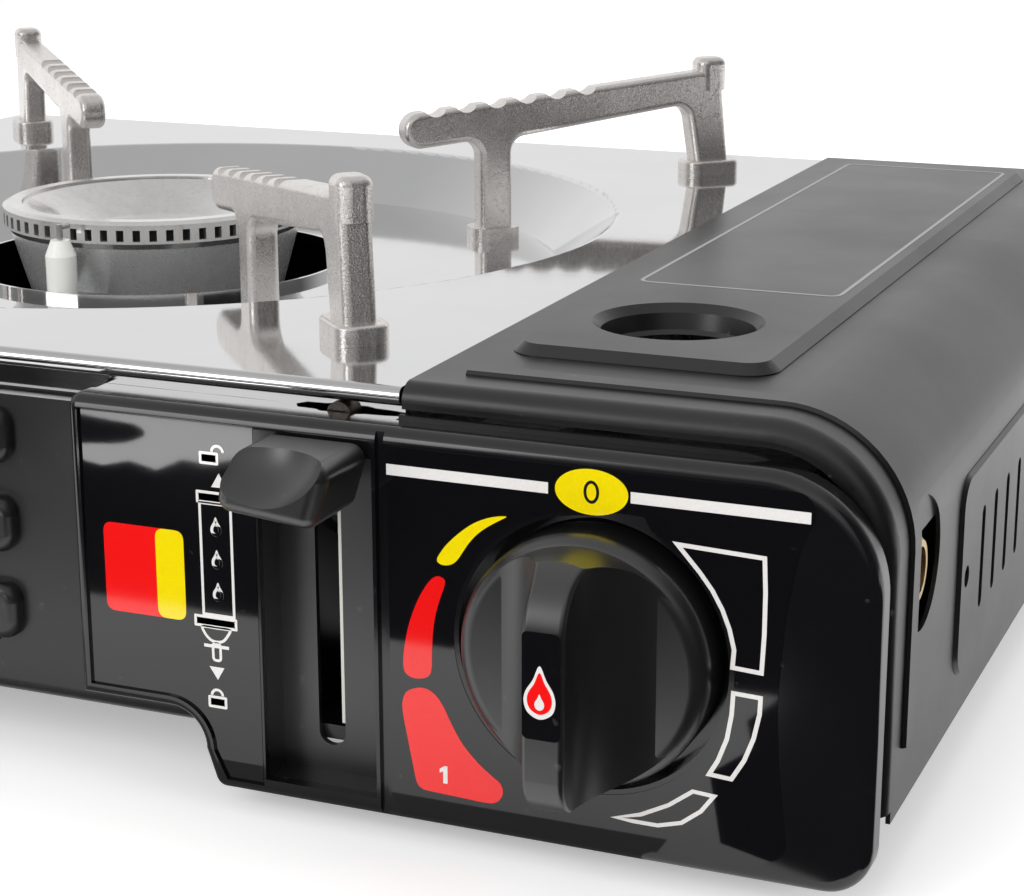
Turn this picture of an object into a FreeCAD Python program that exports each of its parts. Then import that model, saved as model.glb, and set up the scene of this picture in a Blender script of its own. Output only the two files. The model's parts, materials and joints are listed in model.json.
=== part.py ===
import FreeCAD, Part
import math
import operator
import os
import Sketcher

# A table-top butane cassette stove with a second gas inlet on its right side.
# Millimetres. +X is the user's right, +Y the back, +Z up.
# The origin is the middle of the stove's footprint on the table, knob grip included.

DOC = FreeCAD.newDocument("CassetteStove")
SHEET = DOC.addObject("Spreadsheet::Sheet", "Sizes")
PIECES = []

SIZES = {
    # Whole stove
    "overall_width": 345.0,
    "body_depth": 280.0,
    "knob_reach": 22.0,
    "plate_top": 80.2,
    "cover_top": 81.0,
    # Sheet metal and clearances
    "case_sheet": 1.0,
    "plate_sheet": 0.8,
    "cover_sheet": 0.8,
    "sheet_gap": 0.3,
    "running_gap": 0.05,
    "seam_gap": 0.4,
    # Case
    "case_inset": 1.2,
    "floor_bottom": 13.5,
    "trough_bottom": 5.5,
    "trough_left": 92.0,
    "trough_right": 162.0,
    "trough_slant": 3.0,
    "wall_setback": 6.0,
    "wall_step": 4.5,
    "wall_bend": 3.0,
    "ledge_top": 72.0,
    "hood_top": 75.9,
    "sill_right": 167.0,
    "sill_height": 6.0,
    "sill_end_gap": 5.0,
    "louvre_right": 9.0,
    "louvre_length": 150.0,
    "louvre_height": 11.0,
    "louvre_bulge": 3.0,
    "louvre_low": 25.2,
    "louvre_pitch": 16.8,
    # Feet
    "foot_radius": 11.0,
    "foot_taper": 2.0,
    "foot_side": 147.0,
    "foot_front": -95.0,
    "foot_rear": 118.0,
    "foot_trough_side": 150.0,
    # Top plate and bowl
    "plate_front_inset": 7.0,
    "skirt_depth": 7.6,
    "roll_radius": 1.7,
    "burner_x": -43.0,
    "burner_y": 14.7,
    "bowl_rim": 111.0,
    "bowl_foot": 97.0,
    "bowl_depth": 13.0,
    "bowl_round": 2.5,
    "bowl_mouth": 45.0,
    # Pan supports
    "support_seat": 148.7,
    "support_inner_seat": 87.5,
    "support_tip": 63.0,
    "support_high": 107.6,
    "support_low": 100.2,
    "support_nub": 110.4,
    "nub_length": 8.0,
    "nub_width": 7.2,
    "nub_drop": 8.4,
    "nub_proud": 1.8,
    "nub_round": 2.6,
    "leg_lean": 2.8,
    "support_width": 6.6,
    "foot_plate_width": 10.5,
    "foot_plate_length": 15.0,
    "foot_plate_height": 3.6,
    "foot_round": 0.8,
    "leg_length": 9.5,
    "inner_leg_length": 8.5,
    "inner_foot_length": 12.5,
    "inner_foot_height": 3.0,
    "arch_round": 4.0,
    "arm_depth": 9.0,
    "support_round": 1.6,
    "tooth_pitch": 8.2,
    "tooth_radius": 3.2,
    "tooth_depth": 1.5,
    "support_screw": 2.0,
    "support_screw_head": 3.8,
    "support_screw_depth": 6.0,
    "screw_head_height": 2.2,
    # Burner
    "ring_radius": 36.0,
    "ring_bore": 31.5,
    "ring_top": 83.4,
    "ring_height": 6.4,
    "port_width": 1.7,
    "port_height": 2.6,
    "port_drop": 4.4,
    "cap_dish": 5.0,
    "cap_sheet": 1.4,
    "body_lip": 34.5,
    "body_waist": 30.0,
    "body_wall": 2.5,
    "body_neck": 20.0,
    "body_bottom": 27.0,
    "neck_top": 56.0,
    # Mixing tube, on a line from the burner towards the regulator
    "gas_height": 40.0,
    "tube_turn": 38.0,
    "tube_start": 25.0,
    "tube_throat": 82.0,
    "tube_mouth": 106.0,
    "tube_wide": 10.0,
    "tube_narrow": 6.5,
    "tube_wall": 1.2,
    "air_ring_length": 11.0,
    "air_ring_wall": 1.5,
    "air_window": 9.0,
    "jet_length": 12.0,
    "jet_radius": 6.0,
    "jet_nose": 6.0,
    "jet_nose_radius": 3.0,
    "saddle_place": 62.0,
    "saddle_width": 16.0,
    "saddle_length": 8.0,
    # Gas pipe and regulator
    "pipe_radius": 3.0,
    "pipe_bend": 16.0,
    "pipe_y": -79.0,
    "pipe_end_x": 104.0,
    "regulator_left": 112.0,
    "regulator_right": 147.0,
    "regulator_front": -111.0,
    "regulator_rear": -72.0,
    "regulator_low": 29.0,
    "regulator_high": 61.0,
    "barrel_radius": 12.0,
    "barrel_length": 5.0,
    "diaphragm_radius": 18.0,
    "diaphragm_height": 12.0,
    "cap_height": 3.0,
    "outlet_radius": 6.0,
    "bracket_sheet": 1.5,
    "bracket_foot": 8.0,
    # Cartridge socket
    "cartridge_x": 130.0,
    "cartridge_z": 42.0,
    "socket_radius": 13.0,
    "socket_length": 6.0,
    "socket_bore": 8.0,
    "socket_depth": 4.5,
    "nozzle_radius": 2.2,
    "collar_width": 44.0,
    "collar_top": 68.0,
    "collar_key_width": 5.0,
    "collar_key_length": 5.0,
    # Knob
    "knob_x": 123.5,
    "knob_z": 40.5,
    "knob_radius": 21.7,
    "knob_disc": 9.6,
    "knob_stand": 6.0,
    "knob_grip_width": 7.2,
    "knob_flare": 13.0,
    "knob_edge": 3.0,
    "knob_round": 1.2,
    "well_gap": 2.0,
    "well_wall": 1.3,
    "shaft_radius": 3.0,
    "shaft_in_knob": 7.0,
    "cam_radius": 7.0,
    "cam_lobe": 4.0,
    "cam_width": 4.0,
    "igniter_width": 14.0,
    "igniter_height": 26.0,
    "igniter_depth": 16.0,
    # Control panel
    "panel_left": 24.5,
    "panel_top": 75.0,
    "panel_step": 18.8,
    "panel_bottom": 4.5,
    "panel_step_end": 42.6,
    "panel_step_radius": 7.0,
    "panel_toe": 52.1,
    "panel_wall": 2.2,
    "panel_frame": 2.2,
    "panel_frame_height": 0.7,
    "panel_corner": 20.0,
    "panel_low_corner": 8.0,
    "panel_round": 1.8,
    "panel_edge_round": 2.6,
    "panel_seam": 85.5,
    "panel_seam_width": 1.6,
    "panel_seam_depth": 0.8,
    # Cover
    "cover_left": 86.4,
    "cover_low": 13.7,
    "cover_corner": 22.0,
    "cover_emboss": 0.8,
    "crown_height": 2.0,
    "nose_round": 3.4,
    "cover_rim": 4.4,
    "cover_lip": 4.5,
    "bead_start": 94.0,
    "bead_low": 25.0,
    "bead_setback": 9.6,
    "bead_width": 5.0,
    "finger_x": 116.8,
    "finger_y": -66.5,
    "finger_rim": 16.0,
    "finger_hole": 12.8,
    "finger_depth": 5.5,
    "crown_left": 94.0,
    "crown_right": 143.0,
    "crown_front": -95.4,
    "crown_rear": 137.0,
    "crown_corner": 6.0,
    "vent_front": -73.0,
    "vent_rear": 137.0,
    "vent_low": 22.0,
    "vent_high": 60.0,
    "vent_slot_low": 30.9,
    "vent_slot_high": 50.6,
    "vent_slot_width": 3.0,
    "vent_slot_first": -54.5,
    "vent_slot_pitch": 11.4,
    "peep_y": -67.9,
    "peep_z": 41.0,
    "peep_radius": 2.0,
    "inlet_y": -100.3,
    "inlet_hole_z": 53.4,
    "inlet_hole": 11.5,
    # Hinge of the cover
    "hinge_x": 169.0,
    "hinge_z": 15.2,
    "hinge_pin": 0.8,
    "knuckle": 1.5,
    "knuckle_length": 16.0,
    "hinge_front": -96.0,
    "hinge_rear": 118.0,
    # Brass inlet for the other gas
    "inlet_z": 52.0,
    "inlet_end": 171.0,
    "inlet_radius": 6.0,
    "inlet_bore": 4.1,
    "inlet_depth": 12.0,
    "inlet_nut_across": 15.0,
    "inlet_nut_length": 6.0,
    "inlet_seat": 155.0,
    # Lock lever
    "lever_x": 71.5,
    "lever_sheet": 2.0,
    "lever_pivot_y": -93.0,
    "lever_pivot_z": 42.0,
    "lever_pin": 2.0,
    "lever_hub": 6.0,
    "lever_hub_width": 10.4,
    "lever_bracket_sheet": 1.5,
    "lever_cheek": 5.5,
    "crank_eye": 3.2,
    "lever_width": 6.0,
    "grip_left": 63.0,
    "grip_right": 84.6,
    "grip_low": 61.0,
    "grip_high": 72.4,
    "grip_front": -146.0,
    "grip_rear": -130.6,
    "grip_round": 2.5,
    "scoop_radius": 14.0,
    "scoop_out": 5.0,
    "crank_length": 8.0,
    "crank_angle": 28.0,
    "crank_pin": 1.5,
    "crank_gap": 0.15,
    "channel_left": 61.8,
    "channel_right": 84.0,
    "channel_low": 8.0,
    "channel_high": 69.5,
    "channel_wall": 1.2,
    "channel_depth": 7.0,
    "liner_width": 1.2,
    "liner_low": 17.0,
    "liner_high": 60.0,
    "slot_left": 68.9,
    "slot_right": 74.1,
    "slot_low": 13.0,
    "slot_high": 69.0,
    # Pusher that seats the cartridge
    "pusher_left": 84.5,
    "pusher_thick": 3.0,
    "pusher_height": 10.0,
    "pusher_rear": 127.0,
    "pusher_plate": 1.5,
    "pusher_plate_right": 158.0,
    "pusher_plate_low": 18.0,
    "pusher_plate_high": 60.0,
    "lug_length": 13.0,
    "lug_top": 55.0,
    # Heat shield between burner and cartridge
    "shield_x": 83.0,
    "shield_hole": 5.0,
    "shield_flange": 8.0,
    "shield_window": 4.0,
    # Screws
    "screw_radius": 1.5,
    "screw_head": 2.3,
    "front_screw_x": 74.4,
    "front_screw_left": 160.0,
    "front_screw_z": 74.4,
    # Igniter electrode
    "electrode_turn": -90.0,
    "electrode_out": 41.5,
    "electrode_radius": 3.5,
    "electrode_low": 60.0,
    "electrode_high": 80.0,
    "wire_radius": 0.7,
    "wire_length": 3.5,
}


class Size:
    """A number together with the sheet formula that gives it."""

    def __init__(self, value, text):
        self.value = value
        self.text = text

    def __float__(self):
        return self.value

    def __add__(self, other):
        return joined(self, "+", other)

    def __radd__(self, other):
        return joined(other, "+", self)

    def __sub__(self, other):
        return joined(self, "-", other)

    def __rsub__(self, other):
        return joined(other, "-", self)

    def __mul__(self, other):
        return joined(self, "*", other)

    def __rmul__(self, other):
        return joined(other, "*", self)

    def __truediv__(self, other):
        return joined(self, "/", other)

    def __neg__(self):
        return joined(0, "-", self)


OPERATIONS = {"+": operator.add, "-": operator.sub, "*": operator.mul, "/": operator.truediv}


def as_size(value):
    if isinstance(value, Size):
        return value
    return Size(float(value), f"({float(value)!r})")


def joined(first, sign, second):
    first = as_size(first)
    second = as_size(second)
    value = OPERATIONS[sign](first.value, second.value)
    return Size(value, f"({first.text} {sign} {second.text})")


def cos_of(angle):
    return Size(math.cos(math.radians(float(angle))), f"cos({angle.text} * 1deg)")


def sin_of(angle):
    return Size(math.sin(math.radians(float(angle))), f"sin({angle.text} * 1deg)")


def tan_of(angle):
    return Size(math.tan(math.radians(float(angle))), f"tan({angle.text} * 1deg)")


class Names:
    """The sheet's sizes, each under its own name."""


size = Names()
for row, (size_name, number) in enumerate(SIZES.items(), 1):
    SHEET.set(f"A{row}", size_name)
    SHEET.set(f"B{row}", str(number))
    SHEET.setAlias(f"B{row}", size_name)
    setattr(size, size_name, Size(number, f"Sizes.{size_name}"))
DOC.recompute()

# Places worked out from the sizes.
LEFT = -size.overall_width / 2
RIGHT = size.overall_width / 2
PANEL_FACE = -(size.body_depth + size.knob_reach) / 2 + size.knob_reach
BACK = (size.body_depth + size.knob_reach) / 2
KNOB_FACE = PANEL_FACE - size.knob_reach

WALL_FACE = PANEL_FACE + size.wall_setback
WALL_INNER = WALL_FACE + size.case_sheet
UPPER_WALL_FACE = WALL_FACE + size.wall_step
PLATE_FRONT = PANEL_FACE + size.plate_front_inset
CASE_LEFT = LEFT + size.case_inset
CASE_BACK = BACK - size.case_inset - size.plate_sheet
FLOOR_TOP = size.floor_bottom + size.case_sheet
TROUGH_TOP = size.trough_bottom + size.case_sheet
PLATE_UNDER = size.plate_top - size.plate_sheet
PLATE_RIGHT = size.cover_left - size.seam_gap
BOWL_FLOOR = size.plate_top - size.bowl_depth
BOWL_UNDER = BOWL_FLOOR - size.plate_sheet

COVER_SIDE = RIGHT - size.cover_emboss
COVER_FRONT = WALL_INNER + size.sheet_gap
COVER_UNDER = size.cover_top - size.cover_sheet
COVER_INNER = COVER_SIDE - size.cover_sheet

UPPER_WALL_TOP = size.plate_top - size.roll_radius * 2 - size.sheet_gap
UPPER_WALL_RIGHT = PLATE_RIGHT - size.plate_sheet - size.sheet_gap
CHANNEL_REAR = PANEL_FACE + size.panel_wall + size.channel_depth
SHAFT_HOLE = size.shaft_radius + size.well_gap
KNOB_DISC_FRONT = PANEL_FACE - size.knob_stand
KNOB_DISC_REAR = KNOB_DISC_FRONT + size.knob_disc
SHAFT_END = size.regulator_front + size.barrel_length
DIAPHRAGM = (size.cartridge_x, (size.regulator_front + size.regulator_rear) / 2)
PANEL_RIGHT = COVER_SIDE - size.seam_gap
FRONT_SCREWS = (size.front_screw_x, -size.front_screw_left)
CRANK = (size.lever_pivot_y + size.crank_length * sin_of(size.crank_angle),
         size.lever_pivot_z + size.crank_length * cos_of(size.crank_angle))
BRACKET_SCREWS = [(x, size.regulator_front - size.bracket_foot / 2)
                  for x in (size.regulator_left + size.bracket_foot, size.regulator_right - size.bracket_foot)]

VENT_SLOTS = 16
LOUVRES = 3
RING_PORTS = 60
SUPPORT_TEETH = 6
SUPPORT_NAMES = ("back_right", "back_left", "front_left", "front_right")


# Helpers that draw and build.

def bind(target, name, value):
    target.setExpression(name, as_size(value).text)


def keep(item, label):
    """Marks an object as one of the stove's pieces, under the label that names its file."""
    item.Label = label
    PIECES.append(item)
    return item


def new_body(label):
    return keep(DOC.addObject("PartDesign::Body", label), label)


def set_base(item, x=0, y=0, z=0):
    bind(item, ".Placement.Base.x", x)
    bind(item, ".Placement.Base.y", y)
    bind(item, ".Placement.Base.z", z)


def place_round_z(item, angle, x=0, y=0, z=0):
    item.Placement = FreeCAD.Placement(FreeCAD.Vector(), FreeCAD.Rotation(FreeCAD.Vector(0, 0, 1), 1))
    bind(item, ".Placement.Rotation.Angle", angle)
    set_base(item, x, y, z)


def rectangle(x_low, x_high, y_low, y_high):
    return [(x_low, y_low), (x_high, y_low), (x_high, y_high), (x_low, y_high)]


def rounded_rectangle(x_low, x_high, y_low, y_high, r):
    return [
        (x_low + r, y_low), (x_high - r, y_low),
        (x_high, y_low + r, r, x_high - r, y_low + r), (x_high, y_high - r),
        (x_high - r, y_high, r, x_high - r, y_high - r), (x_low + r, y_high),
        (x_low, y_high - r, r, x_low + r, y_high - r), (x_low, y_low + r),
        (x_low + r, y_low, r, x_low + r, y_low + r),
    ]


def upright_slot(x, y_low, y_high, width):
    r = width / 2
    return [
        (x + r, y_low + r), (x + r, y_high - r),
        (x, y_high, r, x, y_high - r), (x - r, y_high - r, r, x, y_high - r),
        (x - r, y_low + r),
        (x, y_low, r, x, y_low + r), (x + r, y_low + r, r, x, y_low + r),
    ]


def circle(x, y, radius):
    return ("circle", x, y, radius)


def fix(sketch, kind, *where):
    """Adds a constraint whose last argument is a size, bound to the sheet."""
    value = as_size(where[-1])
    number = sketch.addConstraint(Sketcher.Constraint(kind, *where[:-1], float(value)))
    sketch.setExpression(f"Constraints[{number}]", value.text)


def fix_point(sketch, geometry, end, x, y):
    fix(sketch, "DistanceX", -1, 1, geometry, end, x)
    fix(sketch, "DistanceY", -1, 1, geometry, end, y)


def add_arc(sketch, start, target):
    """An arc of under half a turn; tells which of its ends is its start."""
    x, y, radius, centre_x, centre_y = (float(number) for number in target)
    centre = FreeCAD.Vector(centre_x, centre_y, 0)
    first = math.atan2(float(start[1]) - centre_y, float(start[0]) - centre_x)
    last = math.atan2(y - centre_y, x - centre_x)
    forward = (last - first) % (2 * math.pi) <= math.pi
    ring = Part.Circle(centre, FreeCAD.Vector(0, 0, 1), radius)
    low, high = (first, last) if forward else (last, first)
    if high < low:
        high += 2 * math.pi
    index = sketch.addGeometry(Part.ArcOfCircle(ring, low, high))
    return index, forward


def draw(sketch, loop, closed=True):
    """One loop or path: a circle, or points joined by lines and, where a point says so, arcs."""
    if loop[0] == "circle":
        _, x, y, radius = loop
        ring = Part.Circle(FreeCAD.Vector(float(x), float(y), 0), FreeCAD.Vector(0, 0, 1), float(radius))
        index = sketch.addGeometry(ring)
        fix_point(sketch, index, 3, x, y)
        fix(sketch, "Radius", index, radius)
        return
    stops = list(loop[1:])
    if closed and not same_place(loop[0], loop[-1]):
        stops.append(loop[0][:2])
    start = loop[0]
    pieces = []
    for stop in stops:
        if len(stop) == 5:
            index, forward = add_arc(sketch, start, stop)
            fix(sketch, "Radius", index, stop[2])
        else:
            ends = [FreeCAD.Vector(float(p[0]), float(p[1]), 0) for p in (start, stop)]
            index = sketch.addGeometry(Part.LineSegment(*ends))
            forward = True
        fix_point(sketch, index, 1 if forward else 2, start[0], start[1])
        pieces.append((index, forward))
        start = stop
    if not closed:
        fix_point(sketch, pieces[-1][0], 2 if pieces[-1][1] else 1, start[0], start[1])
    followers = pieces[1:] + pieces[:1] if closed else pieces[1:]
    for here, after in zip(pieces, followers):
        end = 2 if here[1] else 1
        begin = 1 if after[1] else 2
        sketch.addConstraint(Sketcher.Constraint("Coincident", here[0], end, after[0], begin))


def same_place(first, second):
    return all(abs(float(a) - float(b)) < 1e-6 for a, b in zip(first[:2], second[:2]))


def sketch_on(body, plane, level, loops, across=0, up=0):
    """A sketch parallel to a plane of the body's origin, at a level along that plane's own axis."""
    sketch = body.newObject("Sketcher::SketchObject", "Outline")
    role = plane + "_Plane"
    support = [item for item in body.Origin.OriginFeatures if item.Role == role][0]
    sketch.AttachmentSupport = [(support, "")]
    sketch.MapMode = "FlatFace"
    height = -level if plane == "XZ" else level
    bind(sketch, ".AttachmentOffset.Base.x", across)
    bind(sketch, ".AttachmentOffset.Base.y", up)
    bind(sketch, ".AttachmentOffset.Base.z", height)
    for loop in loops:
        draw(sketch, loop)
    return sketch


def prism(body, kind, plane, low, high, loops):
    """Pads or cuts loops from low to high along the plane's own axis."""
    sketch = sketch_on(body, plane, high if plane == "XZ" else low, loops)
    feature = body.newObject("PartDesign::" + kind, kind)
    feature.Profile = sketch
    feature.Refine = True
    bind(feature, "Length", high - low)
    if kind == "Pocket":
        feature.Reversed = True
    return feature


def pad(body, plane, low, high, *loops):
    return prism(body, "Pad", plane, low, high, loops)


def pocket(body, plane, low, high, *loops):
    return prism(body, "Pocket", plane, low, high, loops)


def turn(body, loop, plane="XZ", level=0, across=0, up=0, axis="V_Axis", cut=False):
    """Revolves a half section about the sketch's own upright or level axis."""
    sketch = sketch_on(body, plane, level, [loop], across, up)
    kind = "Groove" if cut else "Revolution"
    feature = body.newObject("PartDesign::" + kind, kind)
    feature.Profile = sketch
    feature.ReferenceAxis = (sketch, [axis])
    feature.Angle = 360
    return feature


def repeat_round(body, feature, count):
    """Repeats a feature about the body's own upright axis."""
    axis = [item for item in body.Origin.OriginFeatures if item.Role == "Z_Axis"][0]
    pattern = body.newObject("PartDesign::PolarPattern", "Ring")
    pattern.Originals = [feature]
    pattern.Axis = (axis, [""])
    pattern.Angle = 360
    pattern.Occurrences = count
    body.Tip = pattern
    return pattern


def repeat_along(body, feature, role, pitch, count):
    """Repeats a feature in a row along one of the body's own axes."""
    axis = [item for item in body.Origin.OriginFeatures if item.Role == role][0]
    pattern = body.newObject("PartDesign::LinearPattern", "Row")
    pattern.Originals = [feature]
    pattern.Direction = (axis, [""])
    bind(pattern, "Length", pitch * (count - 1))
    pattern.Occurrences = count
    body.Tip = pattern
    return pattern


def soften(body, radius, wanted, kind="Fillet"):
    """Rounds or bevels the edges that a test picks."""
    DOC.recompute()
    base = body.Tip
    names = [f"Edge{n}" for n, edge in enumerate(base.Shape.Edges, 1) if wanted(edge)]
    feature = body.newObject("PartDesign::" + kind, kind)
    feature.Base = (base, names)
    bind(feature, "Radius" if kind == "Fillet" else "Size", radius)
    return feature


def edge_along(edge, axis):
    """Whether a straight edge runs along an axis."""
    if len(edge.Vertexes) != 2 or edge.Curve.TypeId != "Part::GeomLine":
        return False
    run = edge.Vertexes[1].Point - edge.Vertexes[0].Point
    return abs(abs(getattr(run, axis)) - run.Length) < 1e-6


def near(value, target, slack=0.01):
    return abs(value - float(target)) < slack


def block(x_low, x_high, y_low, y_high, z_low, z_high):
    box = DOC.addObject("Part::Box", "Block")
    bind(box, "Length", x_high - x_low)
    bind(box, "Width", y_high - y_low)
    bind(box, "Height", z_high - z_low)
    set_base(box, x_low, y_low, z_low)
    return box


TURNS = {
    "X": FreeCAD.Rotation(FreeCAD.Vector(0, 1, 0), 90),
    "Y": FreeCAD.Rotation(FreeCAD.Vector(1, 0, 0), -90),
    "Z": FreeCAD.Rotation(),
}


def aim(item, axis, place, low):
    """Turns an upright primitive to an axis and sets its start on that axis."""
    item.Placement = FreeCAD.Placement(FreeCAD.Vector(), TURNS[axis])
    spots = {"X": (low, *place), "Y": (place[0], low, place[1]), "Z": (*place, low)}
    set_base(item, *spots[axis])
    return item


def rod(axis, place, radius, low, high):
    cylinder = DOC.addObject("Part::Cylinder", "Rod")
    bind(cylinder, "Radius", radius)
    bind(cylinder, "Height", high - low)
    return aim(cylinder, axis, place, low)


def cone(axis, place, start_radius, end_radius, low, high):
    taper = DOC.addObject("Part::Cone", "Taper")
    bind(taper, "Radius1", start_radius)
    bind(taper, "Radius2", end_radius)
    bind(taper, "Height", high - low)
    return aim(taper, axis, place, low)


def fuse(*items):
    if len(items) == 1:
        return items[0]
    joint = DOC.addObject("Part::MultiFuse", "Whole")
    joint.Shapes = list(items)
    joint.Refine = True
    return joint


def cut(base, *tools):
    result = DOC.addObject("Part::Cut", "Opened")
    result.Base = base
    result.Tool = fuse(*tools)
    return result


def group(items):
    compound = DOC.addObject("Part::Compound", "Set")
    compound.Links = list(items)
    return compound


# Case

def hinge_knuckles(body, side, offset, bore):
    """Two knuckles round the cover's hinge line, joined to a wall at one side."""
    for place in (size.hinge_front, size.hinge_rear):
        start = place + offset
        arm = sorted((size.hinge_x, side), key=float)
        pad(body, "XZ", start, start + size.knuckle_length,
            rectangle(*arm, size.hinge_z - size.knuckle * 0.4, size.hinge_z + size.knuckle * 0.4))
        pad(body, "XZ", start, start + size.knuckle_length, circle(size.hinge_x, size.hinge_z, size.knuckle))
        pocket(body, "XZ", start, start + size.knuckle_length, circle(size.hinge_x, size.hinge_z, bore))


def make_base_case():
    """Painted steel tray: floor with a deeper trough for the cartridge, front, back and left walls."""
    body = new_body("base_case")
    sheet = size.case_sheet
    slant = size.trough_slant
    low = size.floor_bottom
    corner = size.cover_corner
    pad(body, "XZ", WALL_FACE, CASE_BACK, [
        (CASE_LEFT, low), (size.trough_left - slant, low), (size.trough_left, size.trough_bottom),
        (size.trough_right, size.trough_bottom), (size.trough_right + slant, low),
        (size.sill_right, low), (size.sill_right, FLOOR_TOP),
        (size.trough_right + slant - sheet, FLOOR_TOP), (size.trough_right - sheet, TROUGH_TOP),
        (size.trough_left + sheet, TROUGH_TOP), (size.trough_left - slant + sheet, FLOOR_TOP),
        (CASE_LEFT, FLOOR_TOP),
    ])
    pad(body, "XZ", WALL_FACE, WALL_INNER,
        rectangle(CASE_LEFT, size.trough_right - corner, FLOOR_TOP, size.ledge_top))
    pad(body, "XZ", WALL_FACE, WALL_INNER,
        rectangle(size.trough_left + sheet, size.trough_right - sheet, TROUGH_TOP, FLOOR_TOP))
    pad(body, "YZ", CASE_LEFT, UPPER_WALL_RIGHT, [
        (WALL_INNER, size.ledge_top - sheet), (UPPER_WALL_FACE + sheet, size.ledge_top - sheet),
        (UPPER_WALL_FACE + sheet, UPPER_WALL_TOP), (UPPER_WALL_FACE, UPPER_WALL_TOP),
        (UPPER_WALL_FACE, size.ledge_top), (WALL_INNER, size.ledge_top),
    ])
    pad(body, "XZ", CASE_BACK - sheet, CASE_BACK, [
        (CASE_LEFT, FLOOR_TOP), (size.trough_left, FLOOR_TOP), (size.trough_left + sheet, TROUGH_TOP),
        (size.trough_right - sheet, TROUGH_TOP), (size.trough_right, FLOOR_TOP),
        (size.sill_right, FLOOR_TOP), (size.sill_right, PLATE_UNDER - corner),
        (size.sill_right - corner, PLATE_UNDER, corner, size.sill_right - corner, PLATE_UNDER - corner),
        (CASE_LEFT, PLATE_UNDER),
    ])
    pad(body, "XZ", WALL_FACE, WALL_INNER, [
        (size.cover_left, FLOOR_TOP), (size.sill_right, FLOOR_TOP), (size.sill_right, size.hood_top - corner),
        (size.sill_right - corner, size.hood_top, corner, size.sill_right - corner, size.hood_top - corner),
        (size.cover_left, size.hood_top),
    ])
    pad(body, "YZ", CASE_LEFT, CASE_LEFT + sheet,
        [(WALL_FACE + sheet, FLOOR_TOP), (CASE_BACK, FLOOR_TOP), (CASE_BACK, UPPER_WALL_TOP),
         (UPPER_WALL_FACE, UPPER_WALL_TOP), (UPPER_WALL_FACE, size.ledge_top), (WALL_FACE + sheet, size.ledge_top)])
    pad(body, "YZ", size.sill_right - sheet, size.sill_right,
        rectangle(WALL_FACE + size.sill_end_gap, CASE_BACK - size.sill_end_gap,
                  FLOOR_TOP, FLOOR_TOP + size.sill_height))
    bend = size.wall_bend
    pocket(body, "YZ", CASE_LEFT, size.trough_left - slant, [
        (WALL_FACE, low), (WALL_FACE + bend, low),
        (WALL_FACE, low + bend, bend, WALL_FACE + bend, low + bend),
    ])
    pad(body, "YZ", CASE_LEFT, size.trough_left - slant, [
        (WALL_FACE + bend, low), (WALL_FACE + bend + sheet, low), (WALL_FACE + bend + sheet, FLOOR_TOP + bend / 2),
        (WALL_FACE + sheet, FLOOR_TOP + bend), (WALL_FACE, low + bend),
        (WALL_FACE + bend, low, bend, WALL_FACE + bend, low + bend),
    ])
    make_louvres(body)
    gap = size.seam_gap
    pocket(body, "XZ", WALL_FACE, CHANNEL_REAR + gap,
           rectangle(size.channel_left - size.channel_wall - gap, size.channel_right + size.channel_wall + gap,
                     size.trough_bottom, size.channel_high + size.channel_wall + gap / 2))
    pocket(body, "XZ", WALL_FACE, WALL_INNER, circle(size.knob_x, size.knob_z, SHAFT_HOLE))
    pocket(body, "XZ", UPPER_WALL_FACE, UPPER_WALL_FACE + sheet,
           *[circle(x, size.front_screw_z, size.screw_radius + size.running_gap) for x in FRONT_SCREWS])
    hinge_knuckles(body, size.sill_right, -size.knuckle_length - size.sheet_gap,
                   size.hinge_pin + size.running_gap)
    return body


def make_louvres(body):
    """Three pressed hoods at the left front, each open underneath."""
    left = size.louvre_right - size.louvre_length
    crest = WALL_FACE - size.louvre_bulge
    bottoms = [size.louvre_low + size.louvre_pitch * index for index in range(LOUVRES)]
    outlines = [rounded_rectangle(left, size.louvre_right, low, low + size.louvre_height, size.louvre_height / 3)
                for low in bottoms]
    pad(body, "XZ", crest, WALL_FACE, *outlines)
    soften(body, size.louvre_bulge * 0.7, lambda edge: near(edge.BoundBox.YMax, crest))
    shy = size.louvre_height / 2
    mouths = [rectangle(left + shy, size.louvre_right - shy, low - size.case_sheet, low + size.louvre_height * 0.6)
              for low in bottoms]
    pocket(body, "XZ", WALL_FACE - size.louvre_bulge * 0.55, WALL_INNER, *mouths)


def make_feet():
    """Four rubber feet; the right pair stands under the cartridge trough."""
    feet = []
    for x, top in ((-size.foot_side, size.floor_bottom), (size.foot_trough_side, size.trough_bottom)):
        for y in (size.foot_front, size.foot_rear):
            feet.append(cone("Z", (x, y), size.foot_radius - size.foot_taper, size.foot_radius, as_size(0), top))
    return keep(group(feet), "rubber_feet")


# Top plate with its drip bowl

def around(angle, radius):
    """A point about the burner's axis."""
    turned = as_size(angle)
    return size.burner_x + radius * cos_of(turned), size.burner_y + radius * sin_of(turned)


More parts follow.
